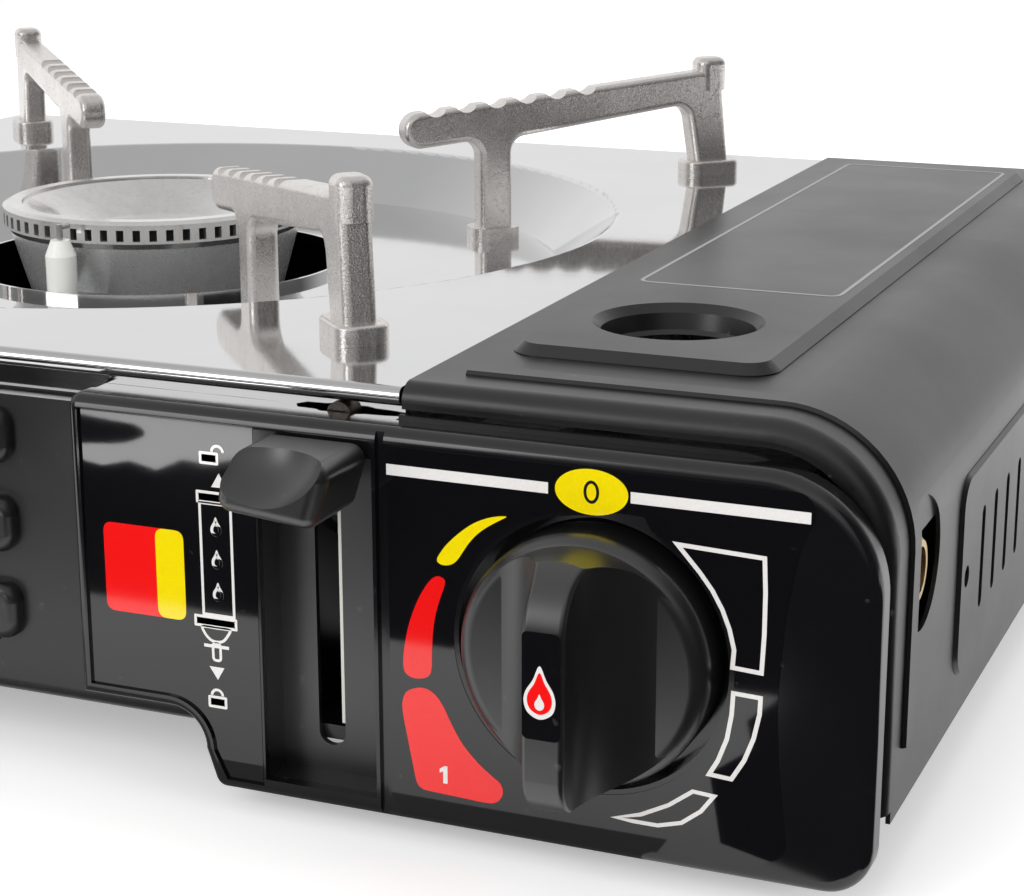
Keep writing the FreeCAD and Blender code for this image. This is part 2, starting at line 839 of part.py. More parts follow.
def make_top_plate():
    body = new_body("top_plate")
    sheet = size.plate_sheet
    pad(body, "XY", PLATE_UNDER, size.plate_top,
        rectangle(LEFT, PLATE_RIGHT, PLATE_FRONT + size.roll_radius, BACK),
        circle(size.burner_x, size.burner_y, size.bowl_rim))
    turn(body, [
        (size.bowl_rim, size.plate_top), (size.bowl_foot, BOWL_FLOOR),
        (size.bowl_mouth + sheet, BOWL_FLOOR), (size.bowl_mouth + sheet, BOWL_FLOOR + sheet * 2),
        (size.bowl_mouth, BOWL_FLOOR + sheet * 2), (size.bowl_mouth, BOWL_UNDER),
        (size.bowl_foot, BOWL_UNDER), (size.bowl_rim, PLATE_UNDER),
    ], across=size.burner_x, level=size.burner_y)
    soften(body, size.bowl_round, lambda edge: near(edge.BoundBox.ZMin, size.plate_top)
           and near(edge.BoundBox.XLength, size.bowl_rim * 2, 0.1))
    skirt_low = size.plate_top - size.skirt_depth
    skirt_front = UPPER_WALL_FACE - size.running_gap * 2 - sheet
    pad(body, "YZ", LEFT, PLATE_RIGHT,
        circle(PLATE_FRONT + size.roll_radius, size.plate_top - size.roll_radius, size.roll_radius))
    pad(body, "YZ", LEFT, PLATE_RIGHT, rectangle(skirt_front, skirt_front + sheet, skirt_low, PLATE_UNDER))
    pad(body, "YZ", LEFT, LEFT + sheet, rectangle(skirt_front, BACK, skirt_low, PLATE_UNDER))
    pad(body, "XZ", BACK - sheet, BACK, rectangle(LEFT, PLATE_RIGHT, skirt_low, PLATE_UNDER))
    pad(body, "YZ", PLATE_RIGHT - sheet, PLATE_RIGHT,
        rectangle(skirt_front, CASE_BACK - size.case_sheet - size.sheet_gap, skirt_low, PLATE_UNDER))
    holes = []
    for turn_index in range(len(SUPPORT_NAMES)):
        angle = 45 + 90 * turn_index
        for seat in (size.support_seat, size.support_inner_seat):
            holes.append(circle(*around(angle, seat), size.support_screw + size.running_gap))
    pocket(body, "XY", BOWL_UNDER, size.plate_top, *holes)
    pocket(body, "XZ", skirt_front, skirt_front + sheet,
           *[circle(x, size.front_screw_z, size.screw_radius + size.running_gap) for x in FRONT_SCREWS])
    return body


# Pan supports

def make_support(label, angle):
    """A cast arm on two legs, with a nub outside and teeth at the inner end."""
    body = new_body(label)
    outer = size.support_seat
    inner = size.support_inner_seat
    half = size.support_width / 2
    foot_top = size.plate_top + size.foot_plate_height
    inner_foot_top = BOWL_FLOOR + size.inner_foot_height
    leg = size.leg_length / 2
    inner_leg = size.inner_leg_length / 2
    tip = size.arm_depth / 2
    arm_low = size.support_low - size.arm_depth
    shoulder = size.support_high - size.arm_depth
    sunk = size.support_round
    pad(body, "XZ", -half, half, [
        (outer + leg, foot_top - sunk), (outer + leg - size.leg_lean, size.support_high),
        (size.support_tip + tip, size.support_low),
        (size.support_tip, size.support_low - tip, tip, size.support_tip + tip, size.support_low - tip),
        (size.support_tip + tip, arm_low, tip, size.support_tip + tip, size.support_low - tip),
        (inner - inner_leg, arm_low + size.leg_lean / 2), (inner - inner_leg, inner_foot_top - sunk),
        (inner + inner_leg, inner_foot_top - sunk), (inner + inner_leg, arm_low + size.leg_lean / 2),
        (outer - leg - size.leg_lean, shoulder), (outer - leg, foot_top - sunk),
    ])
    soften(body, size.arch_round, lambda edge: edge_along(edge, "y") and (
        near(edge.BoundBox.ZMin, arm_low + size.leg_lean / 2) or near(edge.BoundBox.ZMin, shoulder)))
    soften(body, size.support_round, lambda edge: edge.BoundBox.YLength < 0.01)
    teeth = []
    slope = (size.support_high - size.support_low) / (outer + leg - size.leg_lean - size.support_tip - tip)
    above = size.tooth_radius - size.tooth_depth
    for index in range(SUPPORT_TEETH):
        reach = tip + size.tooth_pitch * (index + 0.45)
        teeth.append(circle(size.support_tip + reach, size.support_low + slope * (reach - tip) + above,
                            size.tooth_radius))
    pocket(body, "XZ", -half, half, *teeth)
    foot = size.foot_plate_length / 2
    inner_foot = size.inner_foot_length / 2
    wide = size.foot_plate_width / 2
    corner = size.foot_plate_height
    pad(body, "XY", size.plate_top, foot_top, rounded_rectangle(outer - foot, outer + foot, -wide, wide, corner))
    pad(body, "XY", BOWL_FLOOR, inner_foot_top,
        rounded_rectangle(inner - inner_foot, inner + inner_foot, -wide, wide, corner))
    soften(body, size.foot_round, lambda edge: near(edge.BoundBox.ZMin, foot_top) and (
        near(edge.BoundBox.YMax, wide) or near(edge.BoundBox.YMin, -wide)
        or near(edge.BoundBox.XMax, outer + foot) or near(edge.BoundBox.XMin, outer - foot)))
    nub_rear = outer + leg - size.leg_lean - size.nub_length + size.nub_proud
    nub_wide = size.nub_width / 2
    pad(body, "XY", size.support_nub - size.nub_drop, size.support_nub,
        rounded_rectangle(nub_rear, nub_rear + size.nub_length, -nub_wide, nub_wide, size.nub_round))
    soften(body, size.nub_round * 0.75, lambda edge: near(edge.BoundBox.ZMin, size.support_nub))
    for seat, low in ((outer, size.plate_top), (inner, BOWL_FLOOR)):
        pocket(body, "XY", low, low + size.support_screw_depth,
               circle(seat, 0, size.support_screw + size.running_gap))
    place_round_z(body, as_size(angle), size.burner_x, size.burner_y)
    return body


def make_support_screws():
    """Screws that come up from under the plate into the legs."""
    screws = []
    for index in range(len(SUPPORT_NAMES)):
        angle = 45 + 90 * index
        for seat, under in ((size.support_seat, PLATE_UNDER), (size.support_inner_seat, BOWL_UNDER)):
            spot = around(angle, seat)
            tip = under + size.plate_sheet + size.support_screw_depth - size.sheet_gap
            screws.append(fuse(rod("Z", spot, size.support_screw_head, under - size.screw_head_height, under),
                               rod("Z", spot, size.support_screw, under, tip)))
    return keep(group(screws), "support_screws")


def make_plate_screws():
    """Screws through the plate's front skirt into the case."""
    skirt_front = UPPER_WALL_FACE - size.running_gap * 2 - size.plate_sheet
    screws = []
    for x in FRONT_SCREWS:
        spot = (x, size.front_screw_z)
        screws.append(fuse(rod("Y", spot, size.screw_head, skirt_front - size.screw_head_height, skirt_front),
                           rod("Y", spot, size.screw_radius, skirt_front, UPPER_WALL_FACE + size.wall_bend)))
    return keep(group(screws), "plate_screws")


# Burner

def make_burner_ring():
    """Ring of flame ports with a step inside that carries the cap."""
    body = new_body("burner_ring")
    low = size.ring_top - size.ring_height
    step = size.ring_top - size.cap_dish
    bevel = size.cap_sheet
    turn(body, [
        (size.ring_bore - bevel * 2, low), (size.ring_radius - bevel, low), (size.ring_radius, low + bevel),
        (size.ring_radius, size.ring_top - bevel / 2), (size.ring_radius - bevel, size.ring_top),
        (size.ring_bore, size.ring_top), (size.ring_bore, step), (size.ring_bore - bevel * 2, step),
    ])
    port_low = size.ring_top - size.port_drop
    port = pocket(body, "YZ", size.ring_bore - bevel * 3, size.ring_radius + bevel,
                  rectangle(-size.port_width / 2, size.port_width / 2, port_low, port_low + size.port_height))
    repeat_round(body, port, RING_PORTS)
    set_base(body, size.burner_x, size.burner_y)
    return body


def make_burner_cap():
    """Dished cap that rests on the ring's step."""
    body = new_body("burner_cap")
    seat = size.ring_top - size.cap_dish
    edge = size.ring_bore - size.running_gap
    dish = size.cap_dish - size.cap_sheet
    turn(body, [
        (0, seat - dish), (edge * 0.55, seat - dish), (edge - size.cap_sheet * 2, seat), (edge, seat),
        (edge, size.ring_top - size.cap_sheet * 0.4), (edge - size.cap_sheet, size.ring_top - size.cap_sheet * 0.4),
        (edge * 0.55, seat - dish + size.cap_sheet), (0, seat - dish + size.cap_sheet),
    ])
    set_base(body, size.burner_x, size.burner_y)
    return body


def make_burner_body():
    """Cast bowl under the ring, with the boss that takes the mixing tube."""
    body = new_body("burner_body")
    wall = size.body_wall
    lip = size.ring_top - size.ring_height
    turn(body, [
        (0, size.body_bottom), (size.body_neck, size.body_bottom), (size.body_neck, size.neck_top),
        (size.body_waist, size.neck_top + wall * 2), (size.body_lip, lip), (size.body_lip - wall, lip),
        (size.body_waist - wall, size.neck_top + wall * 3), (size.body_neck - wall, size.neck_top + wall),
        (size.body_neck - wall, size.body_bottom + wall), (0, size.body_bottom + wall),
    ])
    pad(body, "YZ", size.body_neck - wall, size.tube_start,
        circle(0, size.gas_height, size.tube_wide + size.tube_wall))
    pocket(body, "YZ", as_size(0), size.tube_start, circle(0, size.gas_height, size.tube_wide))
    place_round_z(body, -size.tube_turn, size.burner_x, size.burner_y)
    return body


def make_burner_foot():
    foot = fuse(rod("Z", (size.burner_x, size.burner_y), size.body_neck * 0.8, size.body_bottom - size.case_sheet,
                    size.body_bottom),
                rod("Z", (size.burner_x, size.burner_y), size.body_neck * 0.5, FLOOR_TOP,
                    size.body_bottom - size.case_sheet),
                rod("Z", (size.burner_x, size.burner_y), size.body_neck * 0.9, FLOOR_TOP, FLOOR_TOP + size.case_sheet))
    return keep(foot, "burner_foot")


def on_tube_line(body):
    place_round_z(body, -size.tube_turn, size.burner_x, size.burner_y)
    return body


def make_mixing_tube():
    """Pressed tube that narrows at its throat and flares at its mouth."""
    body = new_body("mixing_tube")
    wall = size.tube_wall
    straight = size.tube_mouth - size.air_ring_length
    turn(body, [
        (size.tube_start, size.tube_wide), (size.tube_start, size.tube_wide + wall),
        (size.tube_throat, size.tube_narrow + wall), (straight, size.tube_wide + wall),
        (size.tube_mouth, size.tube_wide + wall), (size.tube_mouth, size.tube_wide),
        (straight, size.tube_wide), (size.tube_throat, size.tube_narrow),
    ], up=size.gas_height, axis="H_Axis")
    return on_tube_line(body)


def make_air_ring():
    """Cage with four air windows between the mixing tube and the jet."""
    body = new_body("air_ring")
    wall = size.air_ring_wall
    outside = size.tube_wide + size.tube_wall
    end = size.tube_mouth + size.air_ring_length
    hole = size.jet_nose_radius + size.running_gap
    turn(body, [
        (size.tube_mouth, outside - wall), (size.tube_mouth, outside), (end, outside), (end, hole),
        (end - wall, hole), (end - wall, outside - wall),
    ], up=size.gas_height, axis="H_Axis")
    half = size.air_window / 2
    start = size.tube_mouth + wall
    finish = end - wall * 2
    pocket(body, "XY", size.gas_height - outside, size.gas_height + outside, rectangle(start, finish, -half, half))
    pocket(body, "XZ", -outside, outside,
           rectangle(start, finish, size.gas_height - half, size.gas_height + half))
    return on_tube_line(body)


def make_jet_holder():
    """Brass jet with its nose inside the air ring."""
    body = new_body("jet_holder")
    end = size.tube_mouth + size.air_ring_length
    nose = end - size.jet_nose
    turn(body, [
        (nose, 0), (nose, size.jet_nose_radius * 0.6), (nose + size.jet_nose_radius * 0.6, size.jet_nose_radius),
        (end, size.jet_nose_radius), (end, size.jet_radius), (end + size.jet_length, size.jet_radius),
        (end + size.jet_length, 0),
    ], up=size.gas_height, axis="H_Axis")
    return on_tube_line(body)


def make_tube_saddle():
    """Stand under the mixing tube."""
    body = new_body("tube_saddle")
    share = (size.saddle_place - size.tube_start) / (size.tube_throat - size.tube_start)
    outside = size.tube_wide + size.tube_wall - share * (size.tube_wide - size.tube_narrow)
    half = size.saddle_width / 2
    low = size.saddle_place - size.saddle_length / 2
    pad(body, "YZ", low, low + size.saddle_length, rectangle(-half, half, FLOOR_TOP, size.gas_height - outside / 2))
    pocket(body, "YZ", low, low + size.saddle_length,
           circle(0, size.gas_height, outside + size.sheet_gap))
    return on_tube_line(body)


# Regulator, gas pipe and the cartridge's seat

def make_gas_pipe():
    """Pipe from the regulator that turns on to the mixing tube's line."""
    body = new_body("gas_pipe")
    turned = size.tube_turn
    along = (size.burner_y - size.pipe_y) / sin_of(turned)
    tangent = size.pipe_bend * tan_of(turned / 2)
    corner_x = size.burner_x + along * cos_of(turned)
    end = size.tube_mouth + size.air_ring_length + size.jet_length
    bend_out = around(-turned, along - tangent)
    path = sketch_on(body, "XY", size.gas_height, [])
    draw(path, [
        (size.pipe_end_x, size.pipe_y), (corner_x + tangent, size.pipe_y),
        (*bend_out, size.pipe_bend, corner_x + tangent, size.pipe_y + size.pipe_bend), around(-turned, end),
    ], closed=False)
    profile = sketch_on(body, "YZ", size.pipe_end_x, [circle(size.pipe_y, size.gas_height, size.pipe_radius)])
    pipe = body.newObject("PartDesign::AdditivePipe", "Bend")
    pipe.Profile = profile
    pipe.Spine = (path, [])
    return body


def make_regulator():
    """Die-cast valve block with the barrel for the knob's shaft and a round diaphragm housing below."""
    knob = (size.knob_x, size.knob_z)
    inlet = (size.inlet_y, size.inlet_z)
    outlet = (size.pipe_y, size.gas_height)
    barrel_front = size.regulator_front - size.barrel_length
    solid = fuse(
        block(size.regulator_left, size.regulator_right, size.regulator_front, size.regulator_rear,
              size.regulator_low, size.regulator_high),
        rod("Y", knob, size.barrel_radius, barrel_front, size.regulator_front),
        rod("Z", DIAPHRAGM, size.diaphragm_radius, size.regulator_low - size.diaphragm_height, size.regulator_low),
        rod("X", outlet, size.outlet_radius, size.pipe_end_x, size.regulator_left),
        rod("X", inlet, size.outlet_radius, size.regulator_right, size.inlet_seat))
    bore = rod("Y", knob, size.shaft_radius + size.running_gap, barrel_front, SHAFT_END + size.seam_gap)
    return keep(cut(solid, bore), "regulator_body")


def make_regulator_cap():
    base = size.regulator_low - size.diaphragm_height
    return keep(fuse(rod("Z", DIAPHRAGM, size.diaphragm_radius + size.bracket_sheet, base - size.cap_height, base),
                     rod("Z", DIAPHRAGM, size.diaphragm_radius / 2, base - size.cap_height - size.bracket_sheet,
                         base - size.cap_height)), "regulator_cap")


def make_regulator_bracket():
    """Angle that carries the regulator on the trough."""
    sheet = size.bracket_sheet
    rear = size.regulator_front
    plate = block(size.regulator_left, size.regulator_right, rear - sheet, rear, TROUGH_TOP, size.regulator_high)
    foot = block(size.regulator_left, size.regulator_right, rear - size.bracket_foot, rear, TROUGH_TOP,
                 TROUGH_TOP + sheet)
    hole = rod("Y", (size.knob_x, size.knob_z), size.barrel_radius + size.running_gap, rear - sheet, rear)
    holes = [rod("Z", spot, size.screw_radius + size.running_gap, TROUGH_TOP, TROUGH_TOP + sheet)
             for spot in BRACKET_SCREWS]
    return keep(cut(fuse(plate, foot), hole, *holes), "regulator_bracket")


def make_bracket_screws():
    top = TROUGH_TOP + size.bracket_sheet
    screws = [fuse(rod("Z", spot, size.screw_head, top, top + size.screw_head_height),
                   rod("Z", spot, size.screw_radius, TROUGH_TOP, top)) for spot in BRACKET_SCREWS]
    return keep(group(screws), "bracket_screws")


def make_cartridge_socket():
    """Round seat for the cartridge's valve, with the nozzle pin in its middle."""
    spot = (size.cartridge_x, size.cartridge_z)
    rear = size.regulator_rear + size.socket_length
    floor = rear - size.socket_depth
    seat = cut(rod("Y", spot, size.socket_radius, size.regulator_rear, rear),
               rod("Y", spot, size.socket_bore, floor, rear))
    return keep(fuse(seat, rod("Y", spot, size.nozzle_radius, floor, rear - size.screw_radius)), "cartridge_socket")


def make_collar_guide():
    """Plate round the socket with the key that finds the notch in the cartridge's collar."""
    spot = (size.cartridge_x, size.cartridge_z)
    sheet = size.bracket_sheet
    rear = size.regulator_rear + sheet
    half = size.collar_width / 2
    key = size.collar_key_width / 2
    plate = block(size.cartridge_x - half, size.cartridge_x + half, size.regulator_rear, rear,
                  TROUGH_TOP, size.collar_top)
    tongue = block(size.cartridge_x - key, size.cartridge_x + key, rear, rear + size.collar_key_length,
                   size.collar_top - sheet, size.collar_top)
    hole = rod("Y", spot, size.socket_radius + size.running_gap, size.regulator_rear, rear)
    return keep(cut(fuse(plate, tongue), hole), "collar_guide")


def make_brass_inlet():
    """Hexagon and threaded mouth for the other gas, reached through the cover's side hole."""
    body = new_body("brass_inlet")
    corner = size.inlet_nut_across / 2 / cos_of(as_size(30))
    hexagon = [(size.inlet_y + corner * cos_of(as_size(60 * n)), size.inlet_z + corner * sin_of(as_size(60 * n)))
               for n in range(6)]
    nut_end = size.inlet_seat + size.inlet_nut_length
    pad(body, "YZ", size.inlet_seat, nut_end, hexagon)
    pad(body, "YZ", nut_end, size.inlet_end, circle(size.inlet_y, size.inlet_z, size.inlet_radius))
    soften(body, size.inlet_radius / 8, lambda edge: near(edge.BoundBox.XMin, size.inlet_end), "Chamfer")
    pocket(body, "YZ", size.inlet_end - size.inlet_depth, size.inlet_end,
           circle(size.inlet_y, size.inlet_z, size.inlet_bore))
    return body


# Knob and igniter

def make_gas_knob():
    """Round knob with an upright grip across it."""
    body = new_body("gas_knob")
    front = KNOB_DISC_FRONT
    rear = KNOB_DISC_REAR
    bevel = size.knob_round
    half = size.knob_grip_width / 2
    top = size.knob_z + size.knob_radius - bevel / 2
    bottom = size.knob_z - size.knob_radius + bevel / 2
    low_bend = size.knob_radius / 3
    high_bend = size.knob_radius * 0.6
    root = size.knob_flare
    edge = size.knob_edge
    foot = front + bevel / 3
    pad(body, "YZ", size.knob_x - half - root, size.knob_x + half + root, [
        (front + bevel, bottom), (front + bevel, top), (KNOB_FACE + high_bend, top),
        (KNOB_FACE, top - high_bend, high_bend, KNOB_FACE + high_bend, top - high_bend),
        (KNOB_FACE, bottom + low_bend),
        (KNOB_FACE + low_bend, bottom, low_bend, KNOB_FACE + low_bend, bottom + low_bend),
    ])
    for side in (-1, 1):
        edge_x = size.knob_x + half * side
        flare_x = edge_x + root * side
        pocket(body, "XY", bottom - bevel, top + bevel, [
            (edge_x, KNOB_FACE), (edge_x, foot - root), (flare_x, foot, root, flare_x, foot - root),
            (flare_x, KNOB_FACE),
        ])
    pocket(body, "XZ", KNOB_FACE, front + bevel,
           circle(size.knob_x, size.knob_z, size.knob_radius + root * 2),
           circle(size.knob_x, size.knob_z, size.knob_radius - edge / 2))
    soften(body, bevel * 0.8, lambda line: line.BoundBox.XLength < 0.01
           and near(abs(line.BoundBox.Center.x - float(size.knob_x)), half)
           and line.BoundBox.YMin < float(front) - float(root))
    turn(body, [
        (0, front), (size.knob_radius - edge, front),
        (size.knob_radius, front + edge, edge, size.knob_radius - edge, front + edge),
        (size.knob_radius, rear), (0, rear),
    ], plane="XY", across=size.knob_x, level=size.knob_z)
    pocket(body, "XZ", rear - size.shaft_in_knob, rear, circle(size.knob_x, size.knob_z, size.shaft_radius))
    return body


def make_knob_shaft():
    return keep(rod("Y", (size.knob_x, size.knob_z), size.shaft_radius, KNOB_DISC_REAR - size.shaft_in_knob,
                    SHAFT_END), "knob_shaft")


def make_igniter_cam():
    """Cam on the shaft that trips the igniter."""
    spot = (size.knob_x, size.knob_z)
    start = WALL_INNER + size.case_sheet
    ring = rod("Y", spot, size.cam_radius, start, start + size.cam_width)
    lobe = block(size.knob_x, size.knob_x + size.cam_radius + size.cam_lobe, start, start + size.cam_width,
                 size.knob_z - size.cam_lobe / 2, size.knob_z + size.cam_lobe / 2)
    return keep(cut(fuse(ring, lobe), rod("Y", spot, size.shaft_radius, start, start + size.cam_width)),
                "igniter_cam")


def make_igniter_body():
    right = size.regulator_left - size.seam_gap
    return keep(block(right - size.igniter_width, right, WALL_INNER, WALL_INNER + size.igniter_depth,
                      size.knob_z + size.cam_radius, size.knob_z + size.cam_radius + size.igniter_height),
                "igniter_body")


def make_electrode():
    """White ceramic rod that stands beside the ring, and its wire."""
    spot = around(size.electrode_turn, size.electrode_out)
    tip = cone("Z", spot, size.electrode_radius, size.electrode_radius * 0.6,
               size.electrode_high - size.electrode_radius, size.electrode_high)
    stem = rod("Z", spot, size.electrode_radius, size.electrode_low, size.electrode_high - size.electrode_radius)
    keep(fuse(stem, tip), "igniter_electrode")
    wire_top = size.electrode_high + size.wire_length
    keep(fuse(rod("Z", spot, size.wire_radius, size.electrode_high, wire_top),
              rod("Y", (spot[0], wire_top - size.wire_radius), size.wire_radius, spot[1],
                  spot[1] + size.wire_length)), "electrode_wire")


def make_electrode_clip():
    """Cast ear that holds the ceramic on the burner."""
    spot = around(size.electrode_turn, size.electrode_out)
    half = size.electrode_radius + size.bracket_sheet
    high = BOWL_UNDER - size.seam_gap
    ear = block(spot[0] - half, spot[0] + half, spot[1] - half, size.burner_y - size.body_waist,
                size.electrode_low + size.electrode_radius, high)
    hole = rod("Z", spot, size.electrode_radius + size.running_gap, size.electrode_low, high)
    return keep(cut(ear, hole), "electrode_clip")


# Control panel

def panel_outline(inset):
    left = size.panel_left + inset
    right = PANEL_RIGHT - inset
    top = size.panel_top - inset
    bottom = size.panel_bottom + inset
    high_corner = size.panel_corner - inset
    low_corner = size.panel_low_corner - inset
    return panel_step(inset) + [
        (right - low_corner, bottom), (right, bottom + low_corner, low_corner, right - low_corner, bottom + low_corner),
        (right, top - high_corner),
        (right - high_corner, top, high_corner, right - high_corner, top - high_corner), (left, top),
    ]


def panel_step(inset):
    """The stepped lower left edge, which clears the case's shallow side."""
    centre_z = size.panel_step - size.panel_step_radius
    bend = size.panel_step_radius + inset
    return [
        (size.panel_left + inset, size.panel_step + inset), (size.panel_step_end, size.panel_step + inset),
        (size.panel_step_end + bend, centre_z, bend, size.panel_step_end, centre_z),
        (size.panel_toe + inset, size.panel_bottom + inset),
    ]


def on_panel_rim(edge):
    """Whether an edge is in the run that goes along the top, down the right side and along the bottom."""
    box = edge.BoundBox
    straight = near(box.ZMin, size.panel_top) or near(box.XMin, PANEL_RIGHT) or near(box.ZMax, size.panel_bottom)
    bend = near(box.XMax, PANEL_RIGHT) and (near(box.ZMax, size.panel_top) or near(box.ZMin, size.panel_bottom))
    return near(box.YMax, PANEL_FACE) and (straight or bend)


def make_control_panel():
    """Glossy moulding with the lever's opening, the knob's well and a raised frame at its left."""
    body = new_body("control_panel")
    wall = size.panel_wall
    pad(body, "XZ", PANEL_FACE, WALL_FACE, panel_outline(as_size(0)))
    soften(body, size.panel_edge_round, lambda edge: on_panel_rim(edge))
    soften(body, size.panel_round, lambda edge: near(edge.BoundBox.YMax, PANEL_FACE)
           and edge.BoundBox.XMax < float(size.panel_toe) + 0.1)
    pocket(body, "XZ", PANEL_FACE + wall, WALL_FACE, panel_outline(wall))
    frame = size.panel_frame
    pocket(body, "XZ", PANEL_FACE, PANEL_FACE + size.panel_frame_height, panel_step(frame) + [
        (size.channel_left, size.panel_bottom + frame), (size.channel_left, size.panel_top - frame),
        (size.panel_left + frame, size.panel_top - frame),
    ])
    pocket(body, "XZ", PANEL_FACE, PANEL_FACE + wall,
           rectangle(size.channel_left, size.channel_right, size.channel_low, size.channel_high))
    seam = size.panel_seam_width / 2
    pocket(body, "XZ", PANEL_FACE, PANEL_FACE + size.panel_seam_depth,
           rectangle(size.panel_seam - seam, size.panel_seam + seam, size.panel_bottom, size.panel_top))
    well = size.knob_radius + size.well_gap
    rim = well + size.well_wall
    turn(body, [
        (SHAFT_HOLE, WALL_FACE - size.well_wall), (well, WALL_FACE - size.well_wall), (well, PANEL_FACE + wall / 2),
        (rim, PANEL_FACE + wall / 2), (rim, WALL_FACE), (SHAFT_HOLE, WALL_FACE),
    ], plane="XY", across=size.knob_x, level=size.knob_z)
    pocket(body, "XZ", PANEL_FACE, WALL_FACE - size.well_wall, circle(size.knob_x, size.knob_z, well))
    return body


def make_lever_channel():
    """Dark channel behind the panel with the slot that guides the lever."""
    body = new_body("lever_channel")
    wall = size.channel_wall
    front = PANEL_FACE + size.panel_wall
    outer = rectangle(size.channel_left - wall, size.channel_right + wall,
                      size.channel_low - wall, size.channel_high + wall)
    pad(body, "XZ", front, CHANNEL_REAR, outer)
    pocket(body, "XZ", front, CHANNEL_REAR - wall,
           rectangle(size.channel_left, size.channel_right, size.channel_low, size.channel_high))
    middle = (size.slot_left + size.slot_right) / 2
    pocket(body, "XZ", CHANNEL_REAR - wall, CHANNEL_REAR,
           upright_slot(middle, size.slot_low, size.slot_high, size.slot_right - size.slot_left))
    return body


def make_slot_liner():
    """Pale strip behind the slot's right edge."""
    return keep(block(size.slot_right - size.liner_width, size.slot_right + size.liner_width * 2,
                      CHANNEL_REAR, CHANNEL_REAR + size.liner_width, size.liner_low, size.liner_high),
                "slot_liner")


# Lock lever and cartridge pusher

def make_lever_arm():
    """Steel arm on its hub, with the crank pin that drives the pusher."""
    body = new_body("lever_arm")
    middle = (size.grip_low + size.grip_high) / 2
    half = size.lever_width / 2
    hub = size.lever_hub
    low = size.lever_x - size.lever_sheet / 2
    high = low + size.lever_sheet
    hub_half = size.lever_hub_width / 2
    pivot = (size.lever_pivot_y, size.lever_pivot_z)
    pad(body, "YZ", size.lever_x - hub_half, size.lever_x + hub_half, circle(*pivot, size.lever_cheek))
    pad(body, "YZ", low, high, circle(*pivot, hub))
    pad(body, "YZ", low, high, [
        (size.grip_rear, middle - half), (pivot[0], pivot[1] - hub * 0.9),
        (pivot[0], pivot[1] + hub * 0.9), (size.grip_rear, middle + half),
    ])
    pad(body, "YZ", low, high, circle(*CRANK, size.crank_eye))
    pad(body, "YZ", high, size.pusher_left + size.pusher_thick + size.seam_gap, circle(*CRANK, size.crank_pin))
    pocket(body, "YZ", size.lever_x - hub_half, size.lever_x + hub_half,
           circle(*pivot, size.lever_pin + size.running_gap))
    return body


def make_lever_grip():
    """Thumb grip with a scooped face."""
    body = new_body("lever_grip")
    slant = size.grip_round * 1.4
    pad(body, "XZ", size.grip_front, size.grip_rear, [
        (size.grip_left, size.grip_low + slant / 2), (size.grip_right - slant, size.grip_low),
        (size.grip_right, size.grip_high), (size.grip_left + slant / 2, size.grip_high),
    ])
    soften(body, size.grip_round, lambda edge: near(edge.BoundBox.YMax, size.grip_front)
           or edge_along(edge, "y"))
    scoop = body.newObject("PartDesign::SubtractiveSphere", "Scoop")
    bind(scoop, "Radius", size.scoop_radius)
    bind(scoop, ".Placement.Base.x", size.grip_left + (size.grip_right - size.grip_left) * 0.4)
    bind(scoop, ".Placement.Base.y", size.grip_front - size.scoop_out)
    bind(scoop, ".Placement.Base.z", size.grip_high + size.scoop_out)
    return body


def make_lever_pin():
    reach = size.lever_hub_width / 2 + size.sheet_gap + size.lever_bracket_sheet
    return keep(rod("X", (size.lever_pivot_y, size.lever_pivot_z), size.lever_pin,
                    size.lever_x - reach, size.lever_x + reach), "lever_pin")


def make_lever_bracket():
    """Two cheeks on the floor that carry the lever's pin."""
    sheet = size.lever_bracket_sheet
    inner = size.lever_hub_width / 2 + size.sheet_gap
    pivot = (size.lever_pivot_y, size.lever_pivot_z)
    cheek = size.lever_cheek
    sides = []
    for low in (size.lever_x - inner - sheet, size.lever_x + inner):
        sides.append(block(low, low + sheet, pivot[0] - cheek, pivot[0] + cheek, FLOOR_TOP, pivot[1]))
        sides.append(rod("X", pivot, cheek, low, low + sheet))
    base = block(size.lever_x - inner - sheet, size.lever_x + inner + sheet, pivot[0] - cheek, pivot[0] + cheek,
                 FLOOR_TOP, FLOOR_TOP + sheet)
    hole = rod("X", pivot, size.lever_pin + size.running_gap, size.lever_x - inner - sheet,
               size.lever_x + inner + sheet)
    return keep(cut(fuse(*sides, base), hole), "lever_bracket")


def make_cartridge_pusher():
    """Slide beside the cartridge: lug with the crank's slot in front, upright plate behind."""
    low = FLOOR_TOP + size.sheet_gap
    left = size.pusher_left
    right = left + size.pusher_thick
    half = size.lug_length / 2
    slot = size.crank_pin + size.crank_gap
    lug = block(left, right, CRANK[0] - half, CRANK[0] + half, low, size.lug_top)
    bar = block(left, right, CRANK[0] - half, size.pusher_rear + size.pusher_plate, low, low + size.pusher_height)
    plate = block(left, size.pusher_plate_right, size.pusher_rear, size.pusher_rear + size.pusher_plate,
                  size.pusher_plate_low, size.pusher_plate_high)
    top_of_swing = size.lever_pivot_z + size.crank_length
    way = block(left, right, CRANK[0] - slot, CRANK[0] + slot, CRANK[1] - slot - size.sheet_gap,
                top_of_swing + slot + size.sheet_gap)
    return keep(cut(fuse(lug, bar, plate), way), "cartridge_pusher")


